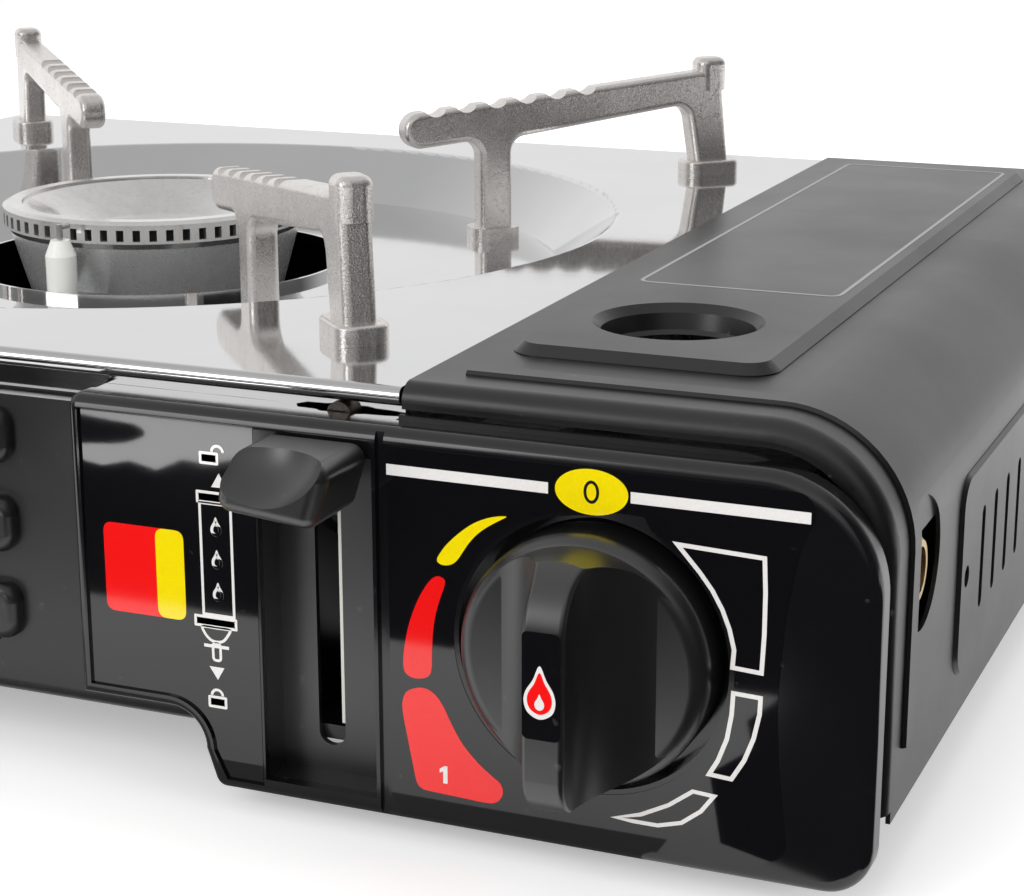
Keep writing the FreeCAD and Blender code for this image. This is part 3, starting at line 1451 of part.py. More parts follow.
def make_heat_shield():
    """Wall between the burner and the cartridge, with a flange under the plate's edge."""
    body = new_body("heat_shield")
    sheet = size.case_sheet
    front = UPPER_WALL_FACE + sheet
    rear = CASE_BACK - sheet
    pad(body, "YZ", size.shield_x, size.shield_x + sheet, rectangle(front, rear, FLOOR_TOP, PLATE_UNDER))
    pad(body, "YZ", size.shield_x - size.shield_flange, size.shield_x,
        rectangle(front, rear, PLATE_UNDER - sheet, PLATE_UNDER))
    window = size.crank_length + size.shield_window
    pocket(body, "YZ", size.shield_x, size.shield_x + sheet,
           rectangle(size.lever_pivot_y - window / 2 - size.crank_pin, size.lever_pivot_y + window / 2 + size.crank_pin,
                     size.lever_pivot_z + size.crank_length / 2, size.lug_top))
    pocket(body, "YZ", size.shield_x, size.shield_x + sheet,
           circle(size.pipe_y, size.gas_height, size.shield_hole))
    return body


# Cartridge cover

def cover_band(outside, depth, foot, start):
    """The cover's section: from its left edge over the round corner and down the right side."""
    corner = size.cover_corner + outside
    inner = corner - depth
    side = COVER_SIDE + outside
    top = size.cover_top + outside
    centre_x = COVER_SIDE - size.cover_corner
    centre_z = size.cover_top - size.cover_corner
    return [
        (start, top - depth), (centre_x, top - depth), (side - depth, centre_z, inner, centre_x, centre_z),
        (side - depth, foot), (side, foot), (side, centre_z), (centre_x, top, corner, centre_x, centre_z),
        (start, top),
    ]


def on_cover_band(edge, level, inset):
    """Whether an edge follows the cover's section in this plane, this far under its skin."""
    box = edge.BoundBox
    top = size.cover_top - inset
    side = COVER_SIDE - inset
    along = near(box.ZMin, top) or near(box.XMin, side) or (near(box.ZMax, top) and near(box.XMax, side))
    return near(box.YMin, level) and near(box.YMax, level) and along


def make_cartridge_cover():
    """Hinged steel cover with its beads, embossed crowns, finger hole, inlet hole and vent slots."""
    body = new_body("cartridge_cover")
    sheet = size.cover_sheet
    emboss = size.cover_emboss
    left = size.cover_left
    flat = as_size(0)
    pad(body, "XZ", COVER_FRONT, BACK, cover_band(flat, sheet, size.cover_low, left))
    rim_foot = FLOOR_TOP + size.sheet_gap * 5
    for low in (COVER_FRONT, BACK - sheet):
        pad(body, "XZ", low, low + sheet, cover_band(-sheet, size.cover_rim - sheet, rim_foot, left))
    nose = size.nose_round
    pocket(body, "XZ", COVER_FRONT, COVER_FRONT + nose + sheet,
           rectangle(COVER_INNER - size.cover_rim, COVER_SIDE, size.cover_low, rim_foot))
    soften(body, nose - sheet, lambda edge: on_cover_band(edge, COVER_FRONT + sheet, sheet))
    soften(body, nose, lambda edge: on_cover_band(edge, COVER_FRONT, flat))
    lip_end = CASE_BACK - size.case_sheet - size.sheet_gap
    pad(body, "YZ", left, left + sheet,
        rectangle(COVER_FRONT + nose, lip_end, size.cover_top - size.cover_lip, COVER_UNDER))
    bead_front = COVER_FRONT + size.bead_setback
    pad(body, "XZ", bead_front, bead_front + size.bead_width,
        cover_band(emboss, emboss, size.bead_low, size.bead_start))
    soften(body, emboss * 0.7, lambda edge: on_cover_band(edge, bead_front, -emboss), "Chamfer")
    crown_top = size.cover_top + size.crown_height
    pad(body, "XY", size.cover_top, crown_top,
        rounded_rectangle(size.crown_left, size.crown_right, size.crown_front, size.crown_rear, size.crown_corner))
    pad(body, "YZ", COVER_SIDE, RIGHT,
        rounded_rectangle(size.vent_front, size.vent_rear, size.vent_low, size.vent_high, size.crown_corner))
    soften(body, size.crown_height * 0.9, lambda edge: near(edge.BoundBox.ZMin, crown_top), "Chamfer")
    soften(body, emboss * 0.9, lambda edge: near(edge.BoundBox.XMin, RIGHT)
           and edge.BoundBox.YMin > float(size.vent_front) - 0.1, "Chamfer")
    pocket(body, "YZ", COVER_INNER, RIGHT, circle(size.peep_y, size.peep_z, size.peep_radius))
    slot = pocket(body, "YZ", COVER_INNER, RIGHT,
                  upright_slot(size.vent_slot_first, size.vent_slot_low, size.vent_slot_high, size.vent_slot_width))
    repeat_along(body, slot, "Y_Axis", size.vent_slot_pitch, VENT_SLOTS)
    pocket(body, "YZ", COVER_INNER, COVER_SIDE, circle(size.inlet_y, size.inlet_hole_z, size.inlet_hole))
    pocket(body, "XY", COVER_UNDER, crown_top, circle(size.finger_x, size.finger_y, size.finger_rim))
    funnel_low = crown_top - size.finger_depth
    turn(body, [
        (size.finger_rim, crown_top), (size.finger_rim - sheet * 2, crown_top - sheet * 2),
        (size.finger_hole + sheet, funnel_low + sheet), (size.finger_hole, funnel_low),
        (size.finger_hole + sheet, funnel_low), (size.finger_rim - sheet / 2, crown_top - sheet * 3),
        (size.finger_rim, crown_top - sheet * 2),
    ], across=size.finger_x, level=size.finger_y)
    hinge_knuckles(body, COVER_INNER, as_size(0), size.hinge_pin + size.running_gap)
    return body


def make_hinge_pins():
    pins = []
    for place in (size.hinge_front, size.hinge_rear):
        start = place - size.knuckle_length - size.sheet_gap
        pins.append(rod("Y", (size.hinge_x, size.hinge_z), size.hinge_pin, start, place + size.knuckle_length))
    return keep(group(pins), "hinge_pins")


def build_all():
    make_base_case()
    make_feet()
    make_top_plate()
    for index, label in enumerate(SUPPORT_NAMES):
        make_support("support_" + label, 45 + 90 * index)
    make_support_screws()
    make_plate_screws()
    make_burner_ring()
    make_burner_cap()
    make_burner_body()
    make_burner_foot()
    make_mixing_tube()
    make_air_ring()
    make_jet_holder()
    make_tube_saddle()
    make_gas_pipe()
    make_regulator()
    make_regulator_cap()
    make_regulator_bracket()
    make_bracket_screws()
    make_cartridge_socket()
    make_collar_guide()
    make_brass_inlet()
    make_gas_knob()
    make_knob_shaft()
    make_igniter_cam()
    make_igniter_body()
    make_electrode()
    make_electrode_clip()
    make_control_panel()
    make_lever_channel()
    make_slot_liner()
    make_lever_arm()
    make_lever_grip()
    make_lever_pin()
    make_lever_bracket()
    make_cartridge_pusher()
    make_heat_shield()
    make_cartridge_cover()
    make_hinge_pins()


def check_all():
    """Stops before anything is written if an object failed or a cut took nothing away."""
    for item in DOC.Objects:
        if "Invalid" in item.State or "Error" in item.State:
            raise RuntimeError(f"{item.Label} ({item.TypeId}) failed")
        if item.TypeId in ("PartDesign::Pocket", "PartDesign::Groove"):
            if item.Shape.Volume > item.BaseFeature.Shape.Volume - 1e-6:
                raise RuntimeError(f"{item.Label} of {item.getParentGroup().Label} cuts nothing")
    for item in PIECES:
        if item.Shape.isNull() or not item.Shape.isValid():
            raise RuntimeError(f"{item.Label} has no valid shape")


def write_all():
    os.makedirs("parts", exist_ok=True)
    for item in PIECES:
        item.Shape.exportStep(f"parts/{item.Label}.step")
        box = item.Shape.BoundBox
        print(f"{item.Label}: {len(item.Shape.Solids)} solids, {item.Shape.Volume:.0f} mm3, "
              f"x {box.XMin:.1f} {box.XMax:.1f}, y {box.YMin:.1f} {box.YMax:.1f}, z {box.ZMin:.1f} {box.ZMax:.1f}")


build_all()
DOC.recompute()
check_all()
write_all()
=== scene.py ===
"""Looks of a table-top cassette stove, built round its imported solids.

Camera, studio, finishes, prints, and the few thin pieces that the solids leave out.
"""

import json
import math

import bmesh
import bpy
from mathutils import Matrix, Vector


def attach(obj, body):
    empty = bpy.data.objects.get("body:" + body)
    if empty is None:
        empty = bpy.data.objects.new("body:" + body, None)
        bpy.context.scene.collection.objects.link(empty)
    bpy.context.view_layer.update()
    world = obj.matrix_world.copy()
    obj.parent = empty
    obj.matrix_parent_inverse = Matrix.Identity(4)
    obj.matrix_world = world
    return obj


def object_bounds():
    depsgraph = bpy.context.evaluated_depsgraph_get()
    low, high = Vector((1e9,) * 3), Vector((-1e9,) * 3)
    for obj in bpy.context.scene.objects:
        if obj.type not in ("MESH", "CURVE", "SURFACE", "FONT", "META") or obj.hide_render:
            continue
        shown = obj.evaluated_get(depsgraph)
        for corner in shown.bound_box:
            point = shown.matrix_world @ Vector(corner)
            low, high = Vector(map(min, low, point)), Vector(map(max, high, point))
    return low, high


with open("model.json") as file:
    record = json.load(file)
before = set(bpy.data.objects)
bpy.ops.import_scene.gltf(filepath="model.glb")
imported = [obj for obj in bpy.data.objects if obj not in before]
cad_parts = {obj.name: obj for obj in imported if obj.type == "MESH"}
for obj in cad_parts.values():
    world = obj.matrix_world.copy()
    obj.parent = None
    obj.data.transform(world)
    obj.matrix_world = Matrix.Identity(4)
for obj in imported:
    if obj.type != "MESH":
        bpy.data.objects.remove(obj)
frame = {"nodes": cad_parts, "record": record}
CAD_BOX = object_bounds()
NODES = frame["nodes"]

MM = 0.001

# Camera, fitted to the photograph's corners
CAMERA_PLACE = (0.24894, -0.46424, 0.17622)
CAMERA_TURN = 22.55
CAMERA_DROP = 15.7
CAMERA_ROLL = 0.1
CAMERA_LENS = 81.7

# Surroundings: their light on dull surfaces, and what gloss sees of them, as (height of the
# direction, grey), with the share of it that is left in front and at the right
PLAIN_LIGHT = 0.72
MIRRORED_TONES = ((0.0, 0.86), (0.30, 0.86), (0.55, 0.70), (0.80, 0.52), (1.0, 0.48))
ROOM_SHARE = 0.12

# Where the mirrored surroundings turn dim, as parts of the direction: on Y, on Z and on X
DIM_TO_FRONT = (0.4, -0.6)
DIM_TO_FLOOR = (0.55, 0.20)
DIM_TO_RIGHT = (0.35, 0.80)

# Floor: its reach in metres, its grey, the light that it adds, and how much of that gloss sees
FLOOR_REACH = 4.0
FLOOR_GREY = 0.86
FLOOR_LIFT = 0.34
FLOOR_IN_GLOSS = 0.35

# Lamps: name, place, aim, size, power, and whether gloss sees them
LAMPS = (
    ("soft_top", (-0.25, 0.55, 0.95), (0.0, 0.0, 0.05), (1.3, 1.0), 6.0, False),
    ("soft_front", (-0.1, -1.2, 0.7), (0.05, -0.1, 0.04), (1.0, 0.8), 7.0, False),
    ("soft_right", (1.0, -0.35, 0.55), (0.12, 0.0, 0.05), (0.35, 0.7), 1.6, False),
    ("strip_left", (-0.75, -1.40, 0.64), (0.06, -0.125, 0.075), (0.60, 0.75), 3.3, True),
)

# Places of the front in millimetres: faces by their Y, tops by their Z
CARD_Y = -221
PANEL_Y = -129.0
LEFT_FACE = -128.3
KNOB_FACE = -151.0
SCREW_FACE = -121.6
LEDGE_FRONT = -123.0
LEDGE_TOP = 75.0
CROWN_TOP = 83.0
KNOB_X = 123.5
KNOB_Z = 40.5

# Thickness of film, ink and sign plate, in millimetres, and the height of ink laid over ink
FILM_LIFT = 0.10
PRINT_LIFT = 0.04
SIGN_THICK = 0.15
SECOND_INK = FILM_LIFT + PRINT_LIFT

# Burner ring: centre, ports, and how far out their dark inside stands
BURNER_PLACE = Vector((-43.0, 14.7, 0.0))
RING_PORTS = 60
PORT_MIDDLE = 80.3
PORT_DEPTH = 34.3


def mm(*values):
    """Millimetres to metres, as a vector where there are several."""
    if len(values) == 1:
        return values[0] * MM
    return Vector([value * MM for value in values])


# Small node helpers

def math_node(tree, operation, first, second):
    node = tree.nodes.new("ShaderNodeMath")
    node.operation = operation
    for socket, value in zip(node.inputs, (first, second)):
        if isinstance(value, (int, float)):
            socket.default_value = value
        else:
            tree.links.new(value, socket)
    return node.outputs[0]


def noise_node(tree, place, scale, detail=3.0, roughness=0.55):
    node = tree.nodes.new("ShaderNodeTexNoise")
    node.inputs["Detail"].default_value = detail
    node.inputs["Roughness"].default_value = roughness
    tree.links.new(place, node.inputs["Vector"])
    if isinstance(scale, (int, float)):
        node.inputs["Scale"].default_value = scale
    else:
        tree.links.new(scale, node.inputs["Scale"])
    return node.outputs["Fac"]


def range_node(tree, value, low, high, to_low, to_high):
    node = tree.nodes.new("ShaderNodeMapRange")
    tree.links.new(value, node.inputs["Value"])
    ends = {"From Min": low, "From Max": high, "To Min": to_low, "To Max": to_high}
    for title, number in ends.items():
        if isinstance(number, (int, float)):
            node.inputs[title].default_value = number
        else:
            tree.links.new(number, node.inputs[title])
    return node.outputs["Result"]


def mix_colour(tree, mask, first, second):
    node = tree.nodes.new("ShaderNodeMix")
    node.data_type = "RGBA"
    tree.links.new(mask, node.inputs[0])
    for socket, value in ((node.inputs[6], first), (node.inputs[7], second)):
        if isinstance(value, tuple):
            socket.default_value = (*value, 1)
        else:
            tree.links.new(value, socket)
    return node.outputs[2]


def mix_shader(tree, share, first, second):
    node = tree.nodes.new("ShaderNodeMixShader")
    for socket, value in zip(node.inputs, (share, first, second)):
        tree.links.new(value, socket)
    return node.outputs[0]


def white_background(tree, strength):
    node = tree.nodes.new("ShaderNodeBackground")
    node.inputs["Color"].default_value = (1, 1, 1, 1)
    node.inputs["Strength"].default_value = strength
    return node.outputs[0]


def seen_mask(tree, path):
    """One for what the camera sees, straight or through glass."""
    straight = path.outputs["Is Camera Ray"]
    return math_node(tree, "MAXIMUM", straight, path.outputs["Is Transmission Ray"])


# Camera and studio

def make_camera():
    data = bpy.data.cameras.new("camera")
    data.lens = CAMERA_LENS
    data.clip_start = 0.01
    data.clip_end = 20
    camera = bpy.data.objects.new("camera", data)
    camera.location = CAMERA_PLACE
    turns = (90 - CAMERA_DROP, CAMERA_ROLL, CAMERA_TURN)
    camera.rotation_euler = [math.radians(turn) for turn in turns]
    bpy.context.scene.collection.objects.link(camera)
    bpy.context.scene.camera = camera


def make_world():
    """White surroundings where they are seen, toned ones in gloss, plain light for the rest."""
    world = bpy.data.worlds.new("studio")
    bpy.context.scene.world = world
    world.use_nodes = True
    # The world isn't sampled as a lamp: each ray that leaves the scene looks up its own tone
    world.cycles.sampling_method = "NONE"
    tree = world.node_tree
    nodes = tree.nodes
    links = tree.links
    nodes.clear()
    out = nodes.new("ShaderNodeOutputWorld")
    path = nodes.new("ShaderNodeLightPath")
    # What gloss sees: white paper behind, a grey ceiling, a dim room in front and at the right
    mirrored = nodes.new("ShaderNodeBackground")
    place = nodes.new("ShaderNodeTexCoord")
    split = nodes.new("ShaderNodeSeparateXYZ")
    links.new(place.outputs["Generated"], split.inputs[0])
    tone = nodes.new("ShaderNodeValToRGB")
    ramp = tone.color_ramp.elements
    for index, (height, grey) in enumerate(MIRRORED_TONES):
        if index == 0:
            spot = ramp[0]
        elif index == len(MIRRORED_TONES) - 1:
            spot = ramp[-1]
        else:
            spot = ramp.new(height)
        spot.position = height
        spot.color = (grey, grey, grey, 1)
    links.new(split.outputs["Z"], tone.inputs["Fac"])
    links.new(tone.outputs["Color"], mirrored.inputs["Color"])
    front = range_node(tree, split.outputs["Y"], *DIM_TO_FRONT, 0.0, 1.0)
    low = range_node(tree, split.outputs["Z"], *DIM_TO_FLOOR, 0.0, 1.0)
    right = range_node(tree, split.outputs["X"], *DIM_TO_RIGHT, 0.0, 1.0)
    dim = math_node(tree, "MAXIMUM", math_node(tree, "MULTIPLY", front, low), right)
    links.new(range_node(tree, dim, 0.0, 1.0, 1.0, ROOM_SHARE), mirrored.inputs["Strength"])
    plain = white_background(tree, PLAIN_LIGHT)
    unseen = mix_shader(tree, path.outputs["Is Glossy Ray"], plain, mirrored.outputs[0])
    final = mix_shader(tree, seen_mask(tree, path), unseen, white_background(tree, 1.0))
    links.new(final, out.inputs["Surface"])


def make_floor():
    """Pale floor that stays white to the camera and keeps the stove's shadow."""
    mesh = bpy.data.meshes.new("floor")
    corners = [(x * FLOOR_REACH, y * FLOOR_REACH, 0) for x, y in box_loop(-1, 1, -1, 1)]
    mesh.from_pydata(corners, [], [(0, 1, 2, 3)])
    floor = bpy.data.objects.new("floor", mesh)
    bpy.context.scene.collection.objects.link(floor)
    material = bpy.data.materials.new("floor_paper")
    material.use_nodes = True
    tree = material.node_tree
    nodes = tree.nodes
    links = tree.links
    nodes.clear()
    out = nodes.new("ShaderNodeOutputMaterial")
    paper = nodes.new("ShaderNodeBsdfDiffuse")
    paper.inputs["Color"].default_value = (FLOOR_GREY, FLOOR_GREY, FLOOR_GREY, 1)
    lift = nodes.new("ShaderNodeEmission")
    lift.inputs["Strength"].default_value = FLOOR_LIFT
    lifted = nodes.new("ShaderNodeAddShader")
    links.new(paper.outputs[0], lifted.inputs[0])
    links.new(lift.outputs[0], lifted.inputs[1])
    path = nodes.new("ShaderNodeLightPath")
    in_gloss = math_node(tree, "MULTIPLY", path.outputs["Is Glossy Ray"], FLOOR_IN_GLOSS)
    share = math_node(tree, "MAXIMUM", seen_mask(tree, path), in_gloss)
    final = mix_shader(tree, share, paper.outputs[0], lifted.outputs[0])
    links.new(final, out.inputs["Surface"])
    mesh.materials.append(material)


def make_lamp(name, place, aim, size, power, in_gloss):
    """Soft rectangular lamp; in_gloss says whether polished surfaces mirror it."""
    data = bpy.data.lights.new(name, "AREA")
    data.shape = "RECTANGLE"
    data.size, data.size_y = size
    data.energy = power
    lamp = bpy.data.objects.new(name, data)
    lamp.location = place
    lamp.rotation_euler = (Vector(aim) - Vector(place)).to_track_quat("-Z", "Y").to_euler()
    lamp.visible_glossy = in_gloss
    bpy.context.scene.collection.objects.link(lamp)


def make_card(name, corners, grey=0.004, glow=0.0):
    """Card out of the picture, seen only in gloss, as a photographer sets one."""
    mesh = bpy.data.meshes.new(name)
    mesh.from_pydata([mm(*corner) for corner in corners], [], [tuple(range(len(corners)))])
    card = bpy.data.objects.new(name, mesh)
    bpy.context.scene.collection.objects.link(card)
    material = bpy.data.materials.new(name)
    material.use_nodes = True
    shader = material.node_tree.nodes["Principled BSDF"]
    shader.inputs["Base Color"].default_value = (grey, grey, grey, 1)
    shader.inputs["Roughness"].default_value = 0.9
    shader.inputs["Emission Color"].default_value = (1, 1, 1, 1)
    shader.inputs["Emission Strength"].default_value = glow
    mesh.materials.append(material)
    card.visible_camera = False
    card.visible_diffuse = False
    card.visible_shadow = False
    card.visible_transmission = False


def upright(points, y=CARD_Y):
    """Corners of a card that stands across the view."""
    return [(x, y, z) for x, z in points]


def lying(points, z):
    """Corners of a card that lies just over the floor."""
    return [(x, y, z) for x, y in points]


def make_cards():
    """Dark and light cards that draw the broken edge of light across the glossy films."""
    low_edge = [(12, 70), (11, 44), (10, 35), (4, 36.0), (-2, 34.2), (-8, 34.8), (-15, 31.6),
                (-22, 33.0), (-29, 31.2), (-37, 32.4), (-38, 70)]
    make_card("front_flag", upright([(-400, 0), (600, 0), (600, 70), *low_edge, (-400, 70)]))
    make_card("slit_flag", upright(box_loop(-38.5, 11.5, 44, 70)))
    make_card("slit_light", upright(box_loop(-46, 18, 26, 50), -224), 0.8, 3.4)
    blob = smooth([(-42, 36.0), (-30, 36.2), (-22, 37.4), (-17.5, 39.6), (-20, 41.6), (-28, 42.2),
                   (-42, 42.6)], 4)
    make_card("blob_flag", upright(blob, -220.8))
    floor_edge = [(131, -221), (128, -205), (133, -192), (129, -178), (140, -150), (176, -136),
                  (206, -60), (330, 0), (600, 60), (600, -221)]
    make_card("floor_flag", lying(floor_edge, 0.6))
    # Grey card under the panel's lower lip, seen only in gloss: painted shadow that the lip mirrors
    # in place of the floor's contact shadow
    make_card("lip_shadow_flag", lying(box_loop(-60, 131, -148, -120), 0.5), 0.25)
    make_card("side_flag", [(300, -221, 0), (460, -60, 0), (460, -60, 260), (300, -221, 260)])


# Shared effects, each one node group

def new_group(name, inputs, outputs):
    """Node group with named sockets; inputs are (name, kind, value)."""
    tree = bpy.data.node_groups.new(name, "ShaderNodeTree")
    for title, kind, value in inputs:
        socket = tree.interface.new_socket(name=title, in_out="INPUT", socket_type=kind)
        socket.default_value = value
    for title, kind in outputs:
        tree.interface.new_socket(name=title, in_out="OUTPUT", socket_type=kind)
    return tree, tree.nodes.new("NodeGroupInput"), tree.nodes.new("NodeGroupOutput")


def object_place(tree):
    return tree.nodes.new("ShaderNodeTexCoord").outputs["Object"]


def make_grain_group():
    """Fine grain of a cast, sprayed or moulded surface: a height, and the same as a mask."""
    tree, given, result = new_group("surface_grain", [("Scale", "NodeSocketFloat", 1500.0),
                                                      ("Coarse", "NodeSocketFloat", 0.35)],
                                    [("Height", "NodeSocketFloat"), ("Mask", "NodeSocketFloat")])
    place = object_place(tree)
    fine = noise_node(tree, place, given.outputs["Scale"], 2.0)
    coarse_scale = math_node(tree, "MULTIPLY", given.outputs["Scale"], 0.22)
    coarse = noise_node(tree, place, coarse_scale, 3.0)
    share = math_node(tree, "MULTIPLY", coarse, given.outputs["Coarse"])
    height = math_node(tree, "ADD", fine, share)
    tree.links.new(height, result.inputs["Height"])
    tree.links.new(range_node(tree, height, 0.35, 0.95, 0.0, 1.0), result.inputs["Mask"])
    return tree


def make_handling_group():
    """Soft smears and dust of use: one mask for the smears, one for small specks."""
    tree, given, result = new_group("handling_marks", [("Smear Scale", "NodeSocketFloat", 14.0),
                                                       ("Speck Scale", "NodeSocketFloat", 420.0),
                                                       ("Speck Amount", "NodeSocketFloat", 0.72)],
                                    [("Smears", "NodeSocketFloat"), ("Specks", "NodeSocketFloat")])
    place = object_place(tree)
    smear = noise_node(tree, place, given.outputs["Smear Scale"], 5.0, 0.62)
    tree.links.new(range_node(tree, smear, 0.38, 0.68, 0.0, 1.0), result.inputs["Smears"])
    speck = noise_node(tree, place, given.outputs["Speck Scale"], 1.0, 0.4)
    upper = math_node(tree, "ADD", given.outputs["Speck Amount"], 0.06)
    tree.links.new(range_node(tree, speck, given.outputs["Speck Amount"], upper, 0.0, 1.0),
                   result.inputs["Specks"])
    return tree


def make_streak_group():
    """Long fine lines along one axis, as rolling, drawing or turning leaves them."""
    tree, given, result = new_group("drawn_lines", [("Across", "NodeSocketVector", (1.0, 1.0, 1.0)),
                                                    ("Scale", "NodeSocketFloat", 900.0)],
                                    [("Lines", "NodeSocketFloat")])
    place = object_place(tree)
    stretch = tree.nodes.new("ShaderNodeVectorMath")
    stretch.operation = "MULTIPLY"
    tree.links.new(place, stretch.inputs[0])
    tree.links.new(given.outputs["Across"], stretch.inputs[1])
    lines = noise_node(tree, stretch.outputs[0], given.outputs["Scale"], 2.0)
    tree.links.new(lines, result.inputs["Lines"])
    return tree


GRAIN = make_grain_group()
HANDLING = make_handling_group()
STREAKS = make_streak_group()


# Materials

def new_material(name, **constants):
    """Material with one Principled shader, whose constants are set on its own sockets."""
    material = bpy.data.materials.new(name)
    material.use_nodes = True
    tree = material.node_tree
    shader = tree.nodes["Principled BSDF"]
    for title, value in constants.items():
        shader.inputs[title.replace("_", " ")].default_value = value
    return material, tree, shader


def place_group(tree, group, **values):
    node = tree.nodes.new("ShaderNodeGroup")
    node.node_tree = group
    for title, value in values.items():
        node.inputs[title.replace("_", " ")].default_value = value
    return node


def add_bump(tree, shader, height, strength, distance):
    bump = tree.nodes.new("ShaderNodeBump")
    bump.inputs["Strength"].default_value = strength
    bump.inputs["Distance"].default_value = distance
    tree.links.new(height, bump.inputs["Height"])
    tree.links.new(bump.outputs["Normal"], shader.inputs["Normal"])


def coated_material(name, colour, pale, roughness, grain_scale, grain_depth, **constants):
    """Paint, powder coat or moulded plastic: grain, smears in the gloss, a few pale specks."""
    material, tree, shader = new_material(name, **constants)
    grain = place_group(tree, GRAIN, Scale=grain_scale)
    marks = place_group(tree, HANDLING, Speck_Amount=0.74)
    smears = marks.outputs["Smears"]
    toned = mix_colour(tree, range_node(tree, smears, 0.0, 1.0, 0.0, 0.5), colour, pale)
    dust = tuple(min(1.0, part * 3 + 0.08) for part in pale)
    dust_mask = range_node(tree, marks.outputs["Specks"], 0.0, 1.0, 0.0, 0.25)
    tree.links.new(mix_colour(tree, dust_mask, toned, dust), shader.inputs["Base Color"])
    low, high = roughness
    tree.links.new(range_node(tree, smears, 0.0, 1.0, low, high), shader.inputs["Roughness"])
    add_bump(tree, shader, grain.outputs["Height"], 0.35, grain_depth)
    return material


def cast_material(name, colour, dark, roughness, grain_scale, grain_depth, metal=1.0):
    """Sand or die casting: coarse grain that darkens its own pits."""
    material, tree, shader = new_material(name, Metallic=metal)
    grain = place_group(tree, GRAIN, Scale=grain_scale, Coarse=0.8)
    marks = place_group(tree, HANDLING, Smear_Scale=60.0, Speck_Amount=0.70)
    pits = range_node(tree, grain.outputs["Mask"], 0.1, 0.8, 1.0, 0.0)
    toned = mix_colour(tree, pits, colour, dark)
    smear_mask = range_node(tree, marks.outputs["Smears"], 0.0, 1.0, 0.0, 0.45)
    tree.links.new(mix_colour(tree, smear_mask, toned, dark), shader.inputs["Base Color"])
    low, high = roughness
    worn = range_node(tree, grain.outputs["Mask"], 0.0, 1.0, high, low)
    tree.links.new(worn, shader.inputs["Roughness"])
    add_bump(tree, shader, grain.outputs["Height"], 0.6, grain_depth)
    return material


def sheet_material(name, colour, dark, roughness, across, line_scale, line_depth):
    """Bright sheet or turned metal with drawn lines and faint smears."""
    material, tree, shader = new_material(name, Metallic=1.0)
    lines = place_group(tree, STREAKS, Across=across, Scale=line_scale)
    marks = place_group(tree, HANDLING, Smear_Scale=9.0, Speck_Amount=0.76)
    smears = marks.outputs["Smears"]
    smear_mask = range_node(tree, smears, 0.0, 1.0, 0.0, 0.6)
    tree.links.new(mix_colour(tree, smear_mask, colour, dark), shader.inputs["Base Color"])
    low, high = roughness
    smeared = range_node(tree, smears, 0.0, 1.0, low, high)
    streaked = range_node(tree, lines.outputs["Lines"], 0.3, 0.7, -low / 3, low / 3)
    tree.links.new(math_node(tree, "ADD", smeared, streaked), shader.inputs["Roughness"])
    add_bump(tree, shader, lines.outputs["Lines"], 0.25, line_depth)
    return material


def ink_material(name, colour, roughness=0.05):
    """Printed ink under the film's gloss: nearly flat, with the screen's faint mottle."""
    material, tree, shader = new_material(name, Specular_IOR_Level=0.9)
    grain = place_group(tree, GRAIN, Scale=2600.0)
    mask = grain.outputs["Mask"]
    worn = tuple(part * 0.9 for part in colour)
    tree.links.new(mix_colour(tree, mask, colour, worn), shader.inputs["Base Color"])
    mottle = range_node(tree, mask, 0.0, 1.0, roughness, roughness + 0.05)
    tree.links.new(mottle, shader.inputs["Roughness"])
    add_bump(tree, shader, grain.outputs["Height"], 0.1, mm(0.002))
    return material


